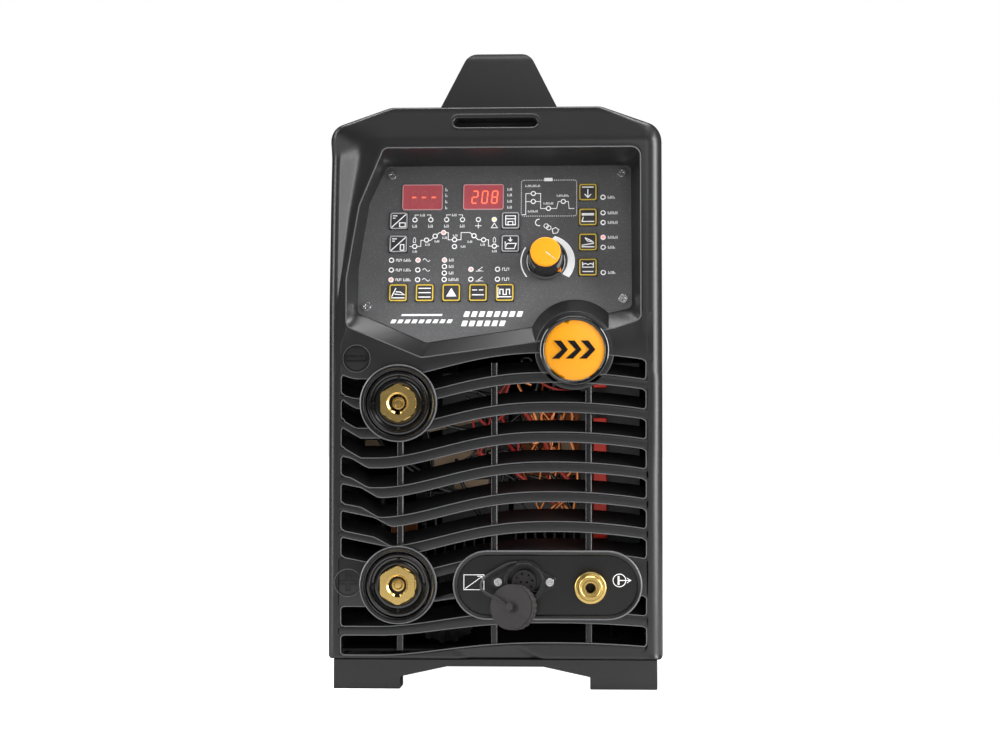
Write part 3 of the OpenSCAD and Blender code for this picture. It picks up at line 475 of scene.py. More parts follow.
# %% Section of the front ring
away = rim - inner_at
reach = np.linalg.norm(away, axis=1)[:, None]
away = away / reach
beside_belt = np.abs(inner_at[:, 1:] - 252) < 24
soft = np.where(beside_belt, 0.25, np.minimum(1.5, reach * 0.3))
start = inner_at + away * soft
flat_in = outer(1.0)[0]
shrink = np.minimum(1.0, (reach[:, 0] - soft[:, 0]) / np.maximum(rim_r, 0.1))
rows = []


def put(p, y):
    """One point of the section at every station; y is how far it lies behind the front plane."""
    rows.append(np.stack([p[:, 0], FRONT + y, p[:, 1]], -1))


y_in = depth(*start.T)
put(inner_at + away * 0.25, y_in + 16)
put(inner_at + away * 0.25, y_in + soft[:, 0] + 0.6)
put(inner_at, y_in + soft[:, 0])
for a in (25, 50, 72):
    s = math.radians(a)
    put(inner_at + away * soft * (1 - math.cos(s)), y_in + soft[:, 0] * (1 - math.sin(s)))
edge = rim + (flat_in - rim) * shrink[:, None]
for t in np.linspace(0, 1, 12):
    p = start + (edge - start) * t
    put(p, depth(*p.T))
y_out = depth(*edge.T)
r_out = rim_r * shrink
for a in (15, 30, 45, 60, 75, 90):
    s = math.radians(a)
    p = edge + (rim - edge) * math.sin(s)
    put(p, y_out + r_out * (1 - math.cos(s)))
put(rim, np.full(len(rim), 40.0))
put(rim, np.full(len(rim), 57.2))
put(rim + (flat_in - rim) * 0.1, np.full(len(rim), 58.0))
behind = rim - away * np.minimum(3, reach * 0.6)
put(behind, np.full(len(rim), 58.0))
put(behind, y_out + r_out + 4)
put(inner_at + away * np.minimum(2.6, reach * 0.5), y_in + 16)
ring_mesh = loft(np.stack(rows, 1), ring=True)
front_ring = add_piece("front_ring", ring_mesh, "moulding", stands_for=["front_bezel"], angle=28)
print("front ring faces:", len(front_ring.data.polygons))


# %% Slot in the leaning facet
def on_facet(x, t, w):
    """A point of the leaning facet: t up its slope from the slot's middle, w out of it."""
    x, t, w = np.broadcast_arrays(np.asarray(x, float), t, w)
    a = math.atan2(LEAN, 26)
    return np.stack([x, FRONT + 14 * LEAN / 26 + t * math.sin(a) - w * math.cos(a),
                     CREASE + 14 + t * math.cos(a) + w * math.sin(a)], -1)


def stadium(w, h, n=20):
    """Outline of a plate with round ends."""
    r, d = h / 2, (w - h) / 2
    a, b = circle((d, 0), r, n + 1, -90, 90), circle((-d, 0), r, n + 1, 90, 270)
    return np.concatenate([a, b])


def rim_loft(w, h, profile, place):
    """A profile of (how far outside the stadium, height) points carried along its outline."""
    rows = [place(*stadium(w + 2 * d, h + 2 * d).T, y) for d, y in profile]
    return loft(np.stack(rows, 1), ring=True)


cutter = loft(np.stack([on_facet(*stadium(64, 10).T, w) for w in (-9.0, 9.0)]))
plug = add_piece("slot_cutter", cutter, "moulding")
cut = front_ring.modifiers.new("slot", "BOOLEAN")
cut.object, cut.operation, cut.solver = plug, "DIFFERENCE", "EXACT"
bpy.context.view_layer.update()
solved = front_ring.evaluated_get(bpy.context.evaluated_depsgraph_get())
cut_mesh = bpy.data.meshes.new_from_object(solved)
front_ring.modifiers.clear()
front_ring.data = cut_mesh
bpy.data.objects.remove(plug)
lip_profile = [(2.4, -0.5), (2.4, 0.1), (2.0, 0.2), (0.6, 0.2), (0.1, 0.1), (-0.4, -0.3), (-0.7, -1.1),
               (-0.7, -8), (0.4, -8), (0.4, -0.5)]
lip_ring = rim_loft(63, 9, lip_profile, on_facet)
add_piece("facet_slot_lip", lip_ring, "moulding")
# A near-black plate closes the slot below its lip: painted shade inside the slot.
slot_shade_plate = loft(np.stack([on_facet(*stadium(63.4, 9.4).T, w) for w in (-8.2, -7.4)]))
add_piece("facet_slot_shade", slot_shade_plate, "painted_shade")

# %% [markdown]
# ## The louvres
# Each bar between two slots is a section carried along x. Its front face is upright with
# rounded edges, and its top and underside slope up to the back, so that nobody can look
# or reach straight in.

# %% Bars of the grille
def bar(top_of, low_of, x0, x1, deep=18.0, climb=9.0, r_top=1.4, r_low=0.8, back=0.0):
    """One louvre from x0 to x1 between two height functions."""
    x = np.linspace(x0, x1, max(4, int((x1 - x0) / 2.5)))
    zt, zl = np.broadcast_to(top_of(x), x.shape), np.broadcast_to(low_of(x), x.shape)
    y0 = back + 0 * x
    section = [(zl + climb * 0.8, y0 + deep)] + [
        (zl + r_low * (1 - math.cos(s)), y0 + r_low * (1 - math.sin(s)))
        for s in np.radians([0, 30, 60, 90])]
    section += [(zt - r_top * (1 - math.cos(s)), y0 + r_top * (1 - math.sin(s)))
                for s in np.radians([90, 68, 45, 22, 0])]
    section += [(zt + climb * 0.5, y0 + deep * 0.5), (zt + climb, y0 + deep - 0.8),
                (zt + climb - 0.8, y0 + deep)]
    rows = np.stack([np.stack([x, FRONT + y, z], -1) for z, y in section], 1)
    return loft(rows)


def lip_low(x):
    """Lower edge of the panel recess at x."""
    return np.interp(x, [-114.6, -109.5, -108, -104, -54, 29.5, 58, 88, 101.5, 105.2, 106.7, 111.9],
                     [271, 269.5, 265.6, 262.7, 242.6, 253.8, 258.2, 263.8, 268.3, 270.5, 274, 275])


def between(i, j, x0=BAR_L, x1=BAR_R):
    """The bar from under slot i to the top of slot j."""
    return bar(lambda x: slot_top(i, x) - SLOT_H, lambda x: slot_top(j, x), x0, x1)


BELT = dict(x0=-118.5, x1=115.5, climb=0.5, r_top=0.6, back=0.12)
SHORT_SLOT = (-50, -24)
bars = [bar(lip_low, lambda x: slot_top(0, x), **BELT)]
bars += [between(i, i + 1) for i in range(6)]
bars += [between(6, 8, x1=SHORT_SLOT[0]), between(6, 7, *SHORT_SLOT), between(7, 8, *SHORT_SLOT),
         between(6, 8, x0=SHORT_SLOT[1]), between(8, 9)]
add_piece("louvres", join(bars), "moulding", angle=30)


def post(middle):
    """An upright rib behind the louvre faces, with rounded front corners."""
    z = np.array([28.0, 100.0, 180.0, 238.0])
    half = [(1.2, 2.3), (1.9, 2.6), (2.4, 3.2), (2.4, 14)]
    s = np.array([(-x, y) for x, y in half[::-1]] + half)
    rows = np.stack([np.broadcast_to(middle + s[:, 0], (4, 8)), np.broadcast_to(FRONT + s[:, 1], (4, 8)),
                     np.broadcast_to(z[:, None], (4, 8))], -1)
    return loft(rows)


# The ribs get the darker satin black in place of the moulding's colour: painted shade behind the louvres.
add_piece("ribs", join([post(x) for x in RIBS]), "satin_black")
print("louvre bars:", len(bars))


# %% Rounded slot ends and painted highlights along their edges
def slot_outline(i, x0, x1, r=3.0):
    """The outline of slot i from x0 to x1 with rounded corners."""
    a = np.radians(np.linspace(0, 90, 6))
    x = np.linspace(x0 + r, x1 - r, max(3, int((x1 - x0) / 3)))
    top = np.stack([x, slot_top(i, x)], -1)
    out = [top]
    for end, sx, sz, turn in ((x1, 1, 1, a), (x1, 1, -1, a[::-1]), (x0, -1, -1, a), (x0, -1, 1, a[::-1])):
        z = slot_top(i, end) - (SLOT_H if sz < 0 else 0)
        arc = np.stack([end - sx * r * (1 - np.sin(turn)), z - sz * r * (1 - np.cos(turn))], -1)
        out.append(arc[1:-1])
        if sx > 0 > sz:
            out.append((top - (0, SLOT_H))[::-1])
    return np.concatenate(out)


def fillet(x, z, sx, sz, r=3.0):
    """A plate that rounds one corner of a slot."""
    t = np.radians(np.linspace(0, 90, 7))
    arc = np.stack([x + sx * r * (1 - np.sin(t)), z + sz * r * (1 - np.cos(t))], -1)
    shape = np.concatenate([[(x - sx * 0.6, z - sz * 0.6)], arc])
    return loft(np.stack([on_front(*shape.T, w) for w in (-9.0, -0.05)]))


LONG_SLOTS = (0, 1, 2, 3, 4, 5, 6, 8, 9)
# The pale strips round the slot outlines are painted highlight along the slot edges.
corners, slot_edge_highlights = [], []
for i in LONG_SLOTS:
    for x, sx in ((SLOT_L, 1), (SLOT_R, -1)):
        corners += [fillet(x, slot_top(i, x), sx, -1), fillet(x, slot_top(i, x) - SLOT_H, sx, 1)]
    slot_edge_highlights.append(stroke(slot_outline(i, SLOT_L, SLOT_R), 0.7, on_front, True, -1.0, 0.1))
add_piece("slot_corners", join(corners), "moulding")
add_piece("slot_edge_highlights", join(slot_edge_highlights), "painted_highlight")
print("slot corners:", len(corners))

# %% [markdown]
# ## The panel recess
# A sloping wall joins the rounded lip in the front plane to the outline of the panel,
# which lies deeper at the top because the panel leans back.

# %% Recess wall
panel_line = corner([[-83.5, 142.4], [100.5, 142.4], [100.5, 30], [60, 20], [24.7, 14.8], [-51, 3.4],
                     [-102.6, 26.5], [-102.6, 62], [-96, 112]], [3, 4, 5, 2, 2, 4, 5, 15, 15])
p3 = on_panel(*dense(panel_line, 2.0).T, -0.4)
lip_fine = dense(LIP, 2.0)
c0 = np.array([0.0, 320.0])
a_panel = np.arctan2(p3[:, 2] - c0[1], p3[:, 0])
a_lip = np.arctan2(lip_fine[:, 1] - c0[1], lip_fine[:, 0])
theta = np.sort(np.concatenate([a_panel, a_lip]))
theta = theta[np.concatenate([[True], np.diff(theta) > 0.002])]
o1, o2 = np.argsort(a_lip), np.argsort(a_panel)
lip_at = np.stack([np.interp(theta, a_lip[o1], lip_fine[o1, k], period=2 * np.pi) for k in (0, 1)], -1)
foot_at = np.stack([np.interp(theta, a_panel[o2], p3[o2, k], period=2 * np.pi) for k in (0, 1, 2)], -1)
out_dir = lip_at - c0
out_dir /= np.linalg.norm(out_dir, axis=1)[:, None]
lip_y = np.full(len(theta), FRONT)
rows = []
top3 = np.stack([lip_at[:, 0], lip_y + 1.5, lip_at[:, 1]], -1)
for t in (0, 0.04, 0.5, 0.93, 1.0):
    rows.append(top3 + (foot_at - top3) * t)
outer2 = lip_at + out_dir * 1.2
outer3 = np.stack([outer2[:, 0], lip_y + 2.2, outer2[:, 1]], -1)
back3 = foot_at + np.stack([out_dir[:, 0], np.zeros(len(theta)), out_dir[:, 1]], -1) * 2.4
rows += [back3, outer3]
add_piece("panel_recess", loft(np.stack(rows, 1), ring=True), "moulding", angle=40)
# A pale raised strip round the recess lip: painted highlight along the lip's edge.
lip_highlight_strip = stroke(lip_fine, 0.9, lambda x, z, w: on_front(x, z, w - depth(x, z)), True, -0.6, 0.35)
add_piece("recess_lip_highlight", lip_highlight_strip, "painted_highlight", angle=60)
print("recess stations:", len(theta))

# %% [markdown]
# ## Turned rings and bosses
# The bosses round the welding sockets, the rim of the connector plate and the collar of
# the badge are rounded profiles turned round an axis or carried along a stadium.

# %% Socket bosses and insulators
def at_sockets(profile, sides=96):
    """The same turned profile at both welding sockets."""
    return join([lathe(profile, at_front(c), sides) for c in SOCKETS])


boss = [(28.3, -14), (28.3, 3.4), (27.9, 4.4), (27.1, 5.0), (25.9, 5.0), (25.3, 4.6), (24.9, 3.6),
        (24.2, 3.4), (23.7, 2.4), (23.5, -4), (24.5, -14)]
insul = [(13.2, -3), (22.9, -3), (23.1, 3.2), (22.8, 3.9), (22.2, 4.2), (20.9, 4.2), (20.4, 3.9),
         (20.1, 3.0), (19.6, 1.6), (18.2, 1.4), (17.6, 2.0), (17.0, 2.9), (16.4, 3.1), (15.4, 3.1),
         (13.7, 2.9), (13.2, 2.6)]
add_piece("socket_bosses", at_sockets(boss), "satin_black")
# A pale ring on the outer rim of each boss: painted highlight.
glint = [(27.3, 4.4), (28.0, 3.9), (28.45, 4.2), (28.2, 4.7), (27.6, 5.05)]
add_piece("boss_rim_highlights", at_sockets(glint), "painted_highlight")
add_piece("insulators", at_sockets(insul), "gloss_black",
          stands_for=["socket_insulators"])
# Near-black discs on each insulator stand for its four small holes: painted shade.
hole_shade_profile = [(0, 2.3), (1.2, 2.3), (1.2, 3.25), (0, 3.25)]
hole_shades = [lathe(hole_shade_profile, at_front(at), 16) for c in SOCKETS for at in circle(c, 18.6, 4)]
add_piece("insulator_hole_shades", join(hole_shades), "painted_shade")


# %% Brass socket bodies and gas outlet
def socket_body(c):
    """A hexagonal nut with a chamfered front, a countersunk bore and a keyway, as loops round its axis."""
    a = np.linspace(0, 2 * np.pi, 144, endpoint=False)
    flat = 12.6 / np.cos(((a + np.pi / 6) % (np.pi / 3)) - np.pi / 6)
    key = np.abs((a + np.pi / 2 + np.pi) % (2 * np.pi) - np.pi) < 0.26
    bore = np.where(key, 8.4, 6.55)
    neck = np.full(len(a), 13.1)
    section = [(bore, -16), (bore, 8.7), (np.where(key, 8.6, 7.9), 10.0), (np.minimum(flat, 13.9), 10.0),
               (flat, 9.2), (flat, 3.0), (neck, 2.9), (neck, -16)]
    rows = [on_front(c[0] + r * np.cos(a), c[1] + r * np.sin(a), w) for r, w in section]
    return loft(np.stack(rows, 1), ring=True)


add_piece("socket_bodies", join([socket_body(c) for c in SOCKETS]), "brass",
          stands_for=["panel_sockets"], angle=25)
outlet = [(3.5, -8), (3.5, 18.4), (4.0, 19.0), (4.9, 19.1), (5.1, 17.2), (6.4, 17.2), (6.6, 19.6),
          (7.1, 20.0), (8.0, 20.0), (8.7, 19.5), (9.2, 18.6), (9.5, 17.3), (10.6, 17.1), (11.3, 16.5),
          (11.5, 15.6), (11.5, 9.2), (11.1, 8.5), (10.4, 8.1), (10.4, 1.0), (7.0, 1.0), (7.0, -8)]
add_piece("gas_nozzle", lathe(outlet, at_front(GAS), 96), "brass_deep", stands_for=["gas_outlet"])

# %% Screws at the bottom of the socket bores
pin = [(0, -16), (5.0, -16), (5.0, 2.6), (4.6, 3.2), (3.4, 3.3), (3.0, 2.6), (2.7, 2.5), (2.3, 3.2), (0, 3.3)]
add_piece("socket_pins", at_sockets(pin, 40), "brass")

# %% Stadium rim of the connector plate
rim_profile = [(3.6, -8), (3.6, 1.9), (3.2, 2.6), (2.6, 3.0), (1.3, 3.0), (0.6, 2.6), (0.2, 1.8),
               (0.05, -2), (1.5, -8)]
add_piece("plate_rim", rim_loft(130.4, 43, rim_profile, at_front(PLATE)), "moulding")
# A pale strip along the top of the plate rim: painted highlight.
rim_highlight_ring = rim_loft(130.4, 43, [(3.7, 2.0), (3.7, 2.5), (3.2, 2.95), (2.6, 3.1), (2.6, 2.6)], at_front(PLATE))
add_piece("plate_rim_highlight", rim_highlight_ring, "painted_highlight")

# %% Collar of the badge
t = np.linspace(0, 2 * np.pi, 160, endpoint=False)
up = ease((np.sin(t) + 0.02) / 0.25)[:, None]
rows = []
for r, w in ((20, -1.0), (24, 0.0), (27.4, 0.0), (28.3, -0.2), (28.8, -0.6), (29, -1.3)):
    rows.append(on_front(BADGE[0] + r * np.cos(t), BADGE[1] + r * np.sin(t), w))
slope = on_panel(58.5 + 34.5 * np.cos(t), 2.4 + 34.5 * np.sin(t), -0.7)
plain_side = on_front(BADGE[0] + 28.6 * np.cos(t), BADGE[1] + 28.6 * np.sin(t), -15.0)
rows.append(plain_side + (slope - plain_side) * up)
rows.append(on_front(BADGE[0] + 20 * np.cos(t), BADGE[1] + 20 * np.sin(t), -24))
add_piece("badge_collar", loft(np.stack(rows, 1), ring=True), "moulding")
badge_profile = [(22.1, 0), (25.3, 0), (25.4, 2.9), (25.1, 3.7), (24.5, 4.15), (23.4, 4.15), (22.6, 3.8),
                 (22.1, 3.2)]
add_piece("badge_rim", lathe(badge_profile, at_front(BADGE)), "gloss_black",
          stands_for=["badge_ring"])

# %% [markdown]
# ## Signs on the front
# The polarity marks are thin raised outlines in the moulding. The badge carries
# three plain chevrons in place of lettering.

# %% Polarity marks and badge sign
minus = np.array([(-7.2, -1.7), (7.2, -1.7), (7.2, 1.7), (-7.2, 1.7)]) + MINUS_AT
plus = np.array([(-5.8, -1.3), (-1.3, -1.3), (-1.3, -5.8), (1.3, -5.8), (1.3, -1.3), (5.8, -1.3), (5.8, 1.3),
                 (1.3, 1.3), (1.3, 5.8), (-1.3, 5.8), (-1.3, 1.3), (-5.8, 1.3)]) + PLUS_AT
rings = [stroke(circle(c, 9.2, 48), 0.9, on_front, True, -0.4, 0.7) for c in (MINUS_AT, PLUS_AT)]
marks = [stroke(shape, 0.8, on_front, True, -0.4, 0.75) for shape in (minus, plus)]
# A pale ring round each polarity mark: painted highlight.
highlight_halos = [stroke(circle(c, 10.0, 48), 0.4, on_front, True, -0.4, 0.5) for c in (MINUS_AT, PLUS_AT)]
add_piece("polarity_rings", join(rings), "satin_black")
add_piece("polarity_marks", join(marks), "satin_black")
add_piece("polarity_highlights", join(highlight_halos), "painted_highlight")
arrow = np.array([(-7, -6.6), (-1.6, -6.6), (4.6, 0), (-0.4, 6.6), (-5.8, 6.6), (0.2, 0)])
chevrons = [patch(arrow + (BADGE[0] + x, BADGE[1] + 0.4), on_front, 2.2, 4.95) for x in (-9.4, 0.6, 10.6)]
add_piece("badge_sign", join(chevrons), "gloss_black")


# %% Plain signs on the connector plate
def on_plate(x, z, w):
    """A point of the connector plate's face, 1 mm before the front face."""
    return on_front(x, z, np.asarray(w) + 1.0)


signs = [stroke([(-22.6, 72.6), (-8.0, 72.6), (-8.0, 83.4), (-22.6, 83.4)], 0.5, on_plate, True),
         stroke([(-21.6, 73.4), (-9.4, 82.2)], 0.5, on_plate),
         stroke([(-12.8, 82.4), (-9.2, 82.4), (-9.6, 79.2)], 0.5, on_plate),
         stroke(circle((90.6, 79.6), 4.6, 32), 0.55, on_plate, True),
         stroke([(90.0, 76.4), (90.0, 82.8)], 1.3, on_plate),
         stroke([(90.6, 79.6), (98.4, 79.6)], 0.6, on_plate),
         stroke([(96, 81.4), (98.8, 79.6), (96, 77.8)], 0.55, on_plate)]
add_piece("plate_signs", join(signs), "ink_with_painted_glow")

# %% [markdown]
# ## Panel print
# Frames, arrows, curves and short bars stand for the printed signs. No words are printed.

# %% Printed lines of the panel
def tick_text(u, v, marks=3, h=2.3):
    """A short row of small plain strokes beside a lamp, in place of a word."""
    out = []
    for k in range(marks):
        x = u + k * 1.9
        out.append(stroke([(x, v - h / 2), (x, v + h / 2)], 0.42, on_panel))
        out.append(stroke([(x + 0.95, v - h / 2), (x + 0.95, v + h * (k % 2) / 2)], 0.42, on_panel))
    return out


def pulse(u, v, s=1.0):
    """A small square wave."""
    p = np.array([(0, 0), (0, 2), (1.6, 2), (1.6, 0), (3.2, 0), (3.2, 2), (4.8, 2), (4.8, 0)]) * s
    return stroke(p + (u, v - s), 0.4, on_panel)


def sine(u, v, s=1.0):
    """A small sine wave."""
    x = np.linspace(0, 5.4, 15)
    return stroke(np.stack([u + x * s, v + 1.1 * s * np.sin(x / 5.4 * 2 * np.pi)], -1), 0.42, on_panel)


LAMPS = ([(-61.4 + 11.9 * i, 99.5) for i in range(6)]
         + [(-78.2 + 19.8 * i, 52.2 + 7.7 * k) for i in range(2) for k in range(3)]
         + [(-38.6, 52.3 + 5.1 * k) for k in range(4)]
         + [(-78.2 + 19.8 * i, 52.4 + 7.8 * k) for i in (3, 4) for k in range(2)]
         + [(79.4, v) for v in (116.8, 104.4, 96.7, 85, 77.1, 57.3)]
         + [(-61.1, 78.4), (-52.4, 83.4), (-46, 86.5), (-39.7, 89.3), (-31.4, 83.6), (-31.4, 78.2),
            (-16.9, 86.7), (-9.7, 83.4), (-1.6, 78.4)]
         + [(27.2, 120.1), (27.2, 113.7), (38.6, 108.1), (49.7, 113.6)])
LIT = {(-78.2, 52.2), (-58.4, 67.6), (-38.6, 67.6), (-18.8, 60.2), (79.4, 85), (-39.7, 89.3)}
cycle = [(-65, 78.4), (-56.6, 78.4), (-56.6, 83.3), (-49.2, 83.3), (-42.9, 89.3), (-36.2, 89.3),
         (-36.2, 83.6), (-26.6, 83.6), (-26.6, 89.3), (-20.1, 89.3), (-13.7, 83.5), (-6, 83.5), (-6, 78.5),
         (1.9, 78.4)]
hot = [(18.8, 103.3), (21.6, 103.3), (21.6, 120.1), (32.7, 120.1), (32.7, 108.1), (44.7, 108.1),
       (45.9, 113.6), (53.5, 113.6), (54, 108), (58, 108)]
ink_with_painted_glow = [stroke(cycle, 0.55, on_panel), stroke(hot, 0.5, on_panel),
       stroke([(21.6, 113.7), (32.7, 113.7)], 0.5, on_panel)]
for c in LAMPS:
    ink_with_painted_glow.append(stroke(circle(c, 1.6, 20), 0.75, on_panel, True, 0.0, 0.34))
frame_line = dense(corner([[18.2, 102.1], [59.7, 102.1], [59.7, 130.8], [18.2, 130.8]], [2] * 4, 3), 0.8)
for k in range(0, len(frame_line) - 1, 2):
    ink_with_painted_glow.append(stroke(frame_line[k:k + 2] + [[0, 0], [0.001, 0.001]], 0.45, on_panel))
ink_with_painted_glow += tick_text(21.5, 126.2, 6, 1.8) + tick_text(23.5, 105.9, 4, 1.8) + tick_text(35.2, 112.2, 4, 1.8)
ink_with_painted_glow += tick_text(45, 118.3, 5, 1.8)
ink_with_painted_glow.append(patch([(35.4, 130), (41.6, 130), (41.6, 132.6), (35.4, 132.6)], on_panel))
for u, v in LAMPS[6:12]:
    ink_with_painted_glow.append(pulse(u + 3.6, v, 0.8) if u < -70 else sine(u + 3.6, v))
    if u < -70:
        ink_with_painted_glow += tick_text(u + 9.4, v, 3)
for u, v in LAMPS[12:16]:
    ink_with_painted_glow += tick_text(u + 3.6, v, 4 if v < 53 else 2)
for u, v in LAMPS[16:20]:
    spark = np.array([(3.6, -1.4), (9.4, -1.4), (5.4, -0.6), (8.6, 1.8)]) + (u, v)
    ink_with_painted_glow.append(pulse(u + 3.6, v) if u > -10 else stroke(spark, 0.5, on_panel))
for k, (u, v) in enumerate(LAMPS[20:26]):
    ink_with_painted_glow += tick_text(u + 3.8, v, 4 if k in (1, 2, 3) else 3)
for v in (123.6, 119.0, 114.0, 109.2):
    ink_with_painted_glow += tick_text(-38.6, v, 1, 2.6) + tick_text(8.0, v, 2, 2.2)
for a, b in ((0, 1), (2, 3)):
    u0, u1 = LAMPS[a][0], LAMPS[b][0]
    ink_with_painted_glow.append(stroke([(u0, 101.6), (u0, 103.4), (u0 + 3, 103.4)], 0.45, on_panel))
    ink_with_painted_glow.append(stroke([(u1 - 3, 103.4), (u1, 103.4), (u1, 101.6)], 0.45, on_panel))
    ink_with_painted_glow += tick_text(u0 + 4.2, 103.2, 2, 2)
    ink_with_painted_glow += tick_text(u0 - 1.6, 94.4, 2, 2.4) + tick_text(u1 - 1.6, 94.4, 2, 2.4)
ink_with_painted_glow.append(stroke([(-16.2, 94.6), (-11.4, 94.6)], 0.5, on_panel))
ink_with_painted_glow.append(stroke([(-13.8, 92.6), (-13.8, 96.6)], 0.5, on_panel))
ink_with_painted_glow.append(stroke([(-4.1, 93), (0.5, 93), (-1.8, 96.8)], 0.5, on_panel, True))
for u, v in ((-61, 74.4), (-51.6, 79.8), (-44.6, 82.4), (-38.8, 85.2), (-31, 86.9), (-20, 82), (-10.4, 79.6),
             (-1.6, 74.4), (-25, 78.2)):
    ink_with_painted_glow += tick_text(u - 1.4, v, 2, 1.8)
for u in (-61.4, -1.6):
    flame = np.array([(-0.9, 0), (-0.9, 2.6), (0, 4), (0.9, 2.6), (0.9, 0)]) + (u, 81.6)
    ink_with_painted_glow.append(stroke(flame, 0.4, on_panel, True))
sign = [stroke(circle((31.5, 97), 2.6, 12, 80, 290), 0.7, on_panel),
        stroke(circle((37, 94.2), 1.7, 16), 0.5, on_panel, True),
        stroke(circle((38.9, 92.8), 1.7, 16), 0.5, on_panel, True),
        stroke([(41.4, 91.6), (44, 93), (46.4, 91.2), (45.2, 88.6), (42.2, 88.2)], 0.55, on_panel, True)]
add_piece("panel_print", join(ink_with_painted_glow + sign), "ink_with_painted_glow")
print("printed strokes:", len(ink_with_painted_glow))

# %% Scale round the dial and the two plain emblems
cen = (37.8, 66.4)
left_arc = circle(cen, 19.4, 20, 146, 219)
moon = np.concatenate([circle(cen, 20.6, 30, 74, -38), circle((35.9, 67.4), 17.2, 30, -40, 72)])
add_piece("dial_scale", join([stroke(left_arc, 0.9, on_panel), patch(moon, on_panel)]), "ink_with_painted_glow")


def slants(count, start, pitch, low, high, wide):
    """A row of slanted bars from u = start."""
    return [patch([(u, low), (u + wide, low), (u + wide + 1.4, high), (u + 1.4, high)], on_panel)
            for u in start + pitch * np.arange(count)]


long_bar = patch([(-70, 24.0), (-40, 24.0), (-39.3, 25.4), (-69.3, 25.4)], on_panel)
emblem = slants(9, -78, 5.2, 18.4, 21.2, 3.4) + [long_bar]
emblem += slants(8, -24, 5.6, 23.2, 27.4, 3.8) + slants(6, -25.6, 5.6, 16.0, 20.2, 3.8)
add_piece("panel_emblem", join(emblem), "ink_with_painted_glow")

# %% [markdown]
# ## Lamps, displays and keys
# Lit lamps and digits glow a little. Every key's frame and sign ride on that key's body.

# %% Lamps and displays
def dome(c, r=1.3):
    return lathe([(0, -0.2), (r, -0.2), (r, 0.2), (r * 0.7, 0.34), (0, 0.4)], at_panel(c), 20)


warm = LAMPS[5]
lit = [c for c in LAMPS if any(abs(c[0] - a) + abs(c[1] - b) < 0.4 for a, b in LIT)]
dark = [c for c in LAMPS if c not in lit and c != warm]
add_piece("lamps_dark", join([dome(c) for c in dark]), "lamp_off", stands_for=["led_lenses"])
add_piece("lamps_lit", join([dome(c) for c in lit]), "lamp_on")
add_piece("lamp_warm", dome(warm), "lamp_warm")
WIN = [(-56, 117.5), (-10.2, 117.5)]
glass, rims, on, off = [], [], [], []
SEG = {"2": "abdeg", "0": "abcdef", "8": "abcdefg", "-": "g"}
for c, word in zip(WIN, ("---", "208")):
    box = np.array([(-15.1, -10), (15.1, -10), (15.1, 10), (-15.1, 10)])
    glass.append(patch(box * 0.97 + c, on_panel, -1.0, 0.32))
    rims.append(stroke(corner(box, [1.5] * 4, 4) * 0.985 + c, 0.7, on_panel, True, 0, 0.5))
    for k, ch in enumerate(word):
        x0, y0, w, h = c[0] - 8.8 + 7.4 * k, c[1] - 5.0, 3.9, 9.6
        ends = {"a": [(0, h), (w, h)], "b": [(w, h), (w, h / 2)], "c": [(w, h / 2), (w, 0)],
                "d": [(w, 0), (0, 0)], "e": [(0, 0), (0, h / 2)], "f": [(0, h / 2), (0, h)],
                "g": [(0, h / 2), (w, h / 2)]}
        for name, (a, b) in ends.items():
            a, b = np.array(a, float), np.array(b, float)
            d = (b - a) / np.linalg.norm(b - a) * 0.35
            pts = np.array([a + d, b - d])
            pts[:, 0] += 0.1 * pts[:, 1]
            (on if name in SEG[ch] else off).append(
                stroke(pts + (x0, y0), 0.95, on_panel, False, 0.25, 0.42 if name in SEG[ch] else 0.38))
add_piece("display_glass", join(glass), "window", stands_for=["display_windows"])
add_piece("display_rims", join(rims), "window_rim")
add_piece("digits_lit", join(on), "digit")
add_piece("digits_dark", join(off), "digit_off")

# %% Key frames and signs
KEY_AT = {"select_up": (-73.4, 98.5), "save": (10.3, 98.5), "select_down": (-73.4, 80.2),
          "load": (10.3, 80.2), "process": (-72.7, 41.8), "waveform": (-52.9, 41.8),
          "trigger_mode": (-33.1, 41.8), "hf_start": (-13.3, 41.8), "pulse": (6.5, 41.8),
          "vrd": (68.1, 120.7), "stick": (68.1, 100.9), "pedal": (68.1, 81.1), "cooler": (68.1, 61.3)}


def frame_path(x0, z0, x1, z1):
    """The four sides of a rectangle as one line."""
    return [(x0, z0), (x1, z0), (x1, z1), (x0, z1), (x0, z0)]


def on_key(c):
    """Maps (u, v, w) to the cap of the key at c, which stands 0.9 mm out of the panel."""
    return lambda u, v, w: on_panel(np.asarray(u) + c[0], np.asarray(v) + c[1], np.asarray(w) + 0.9)


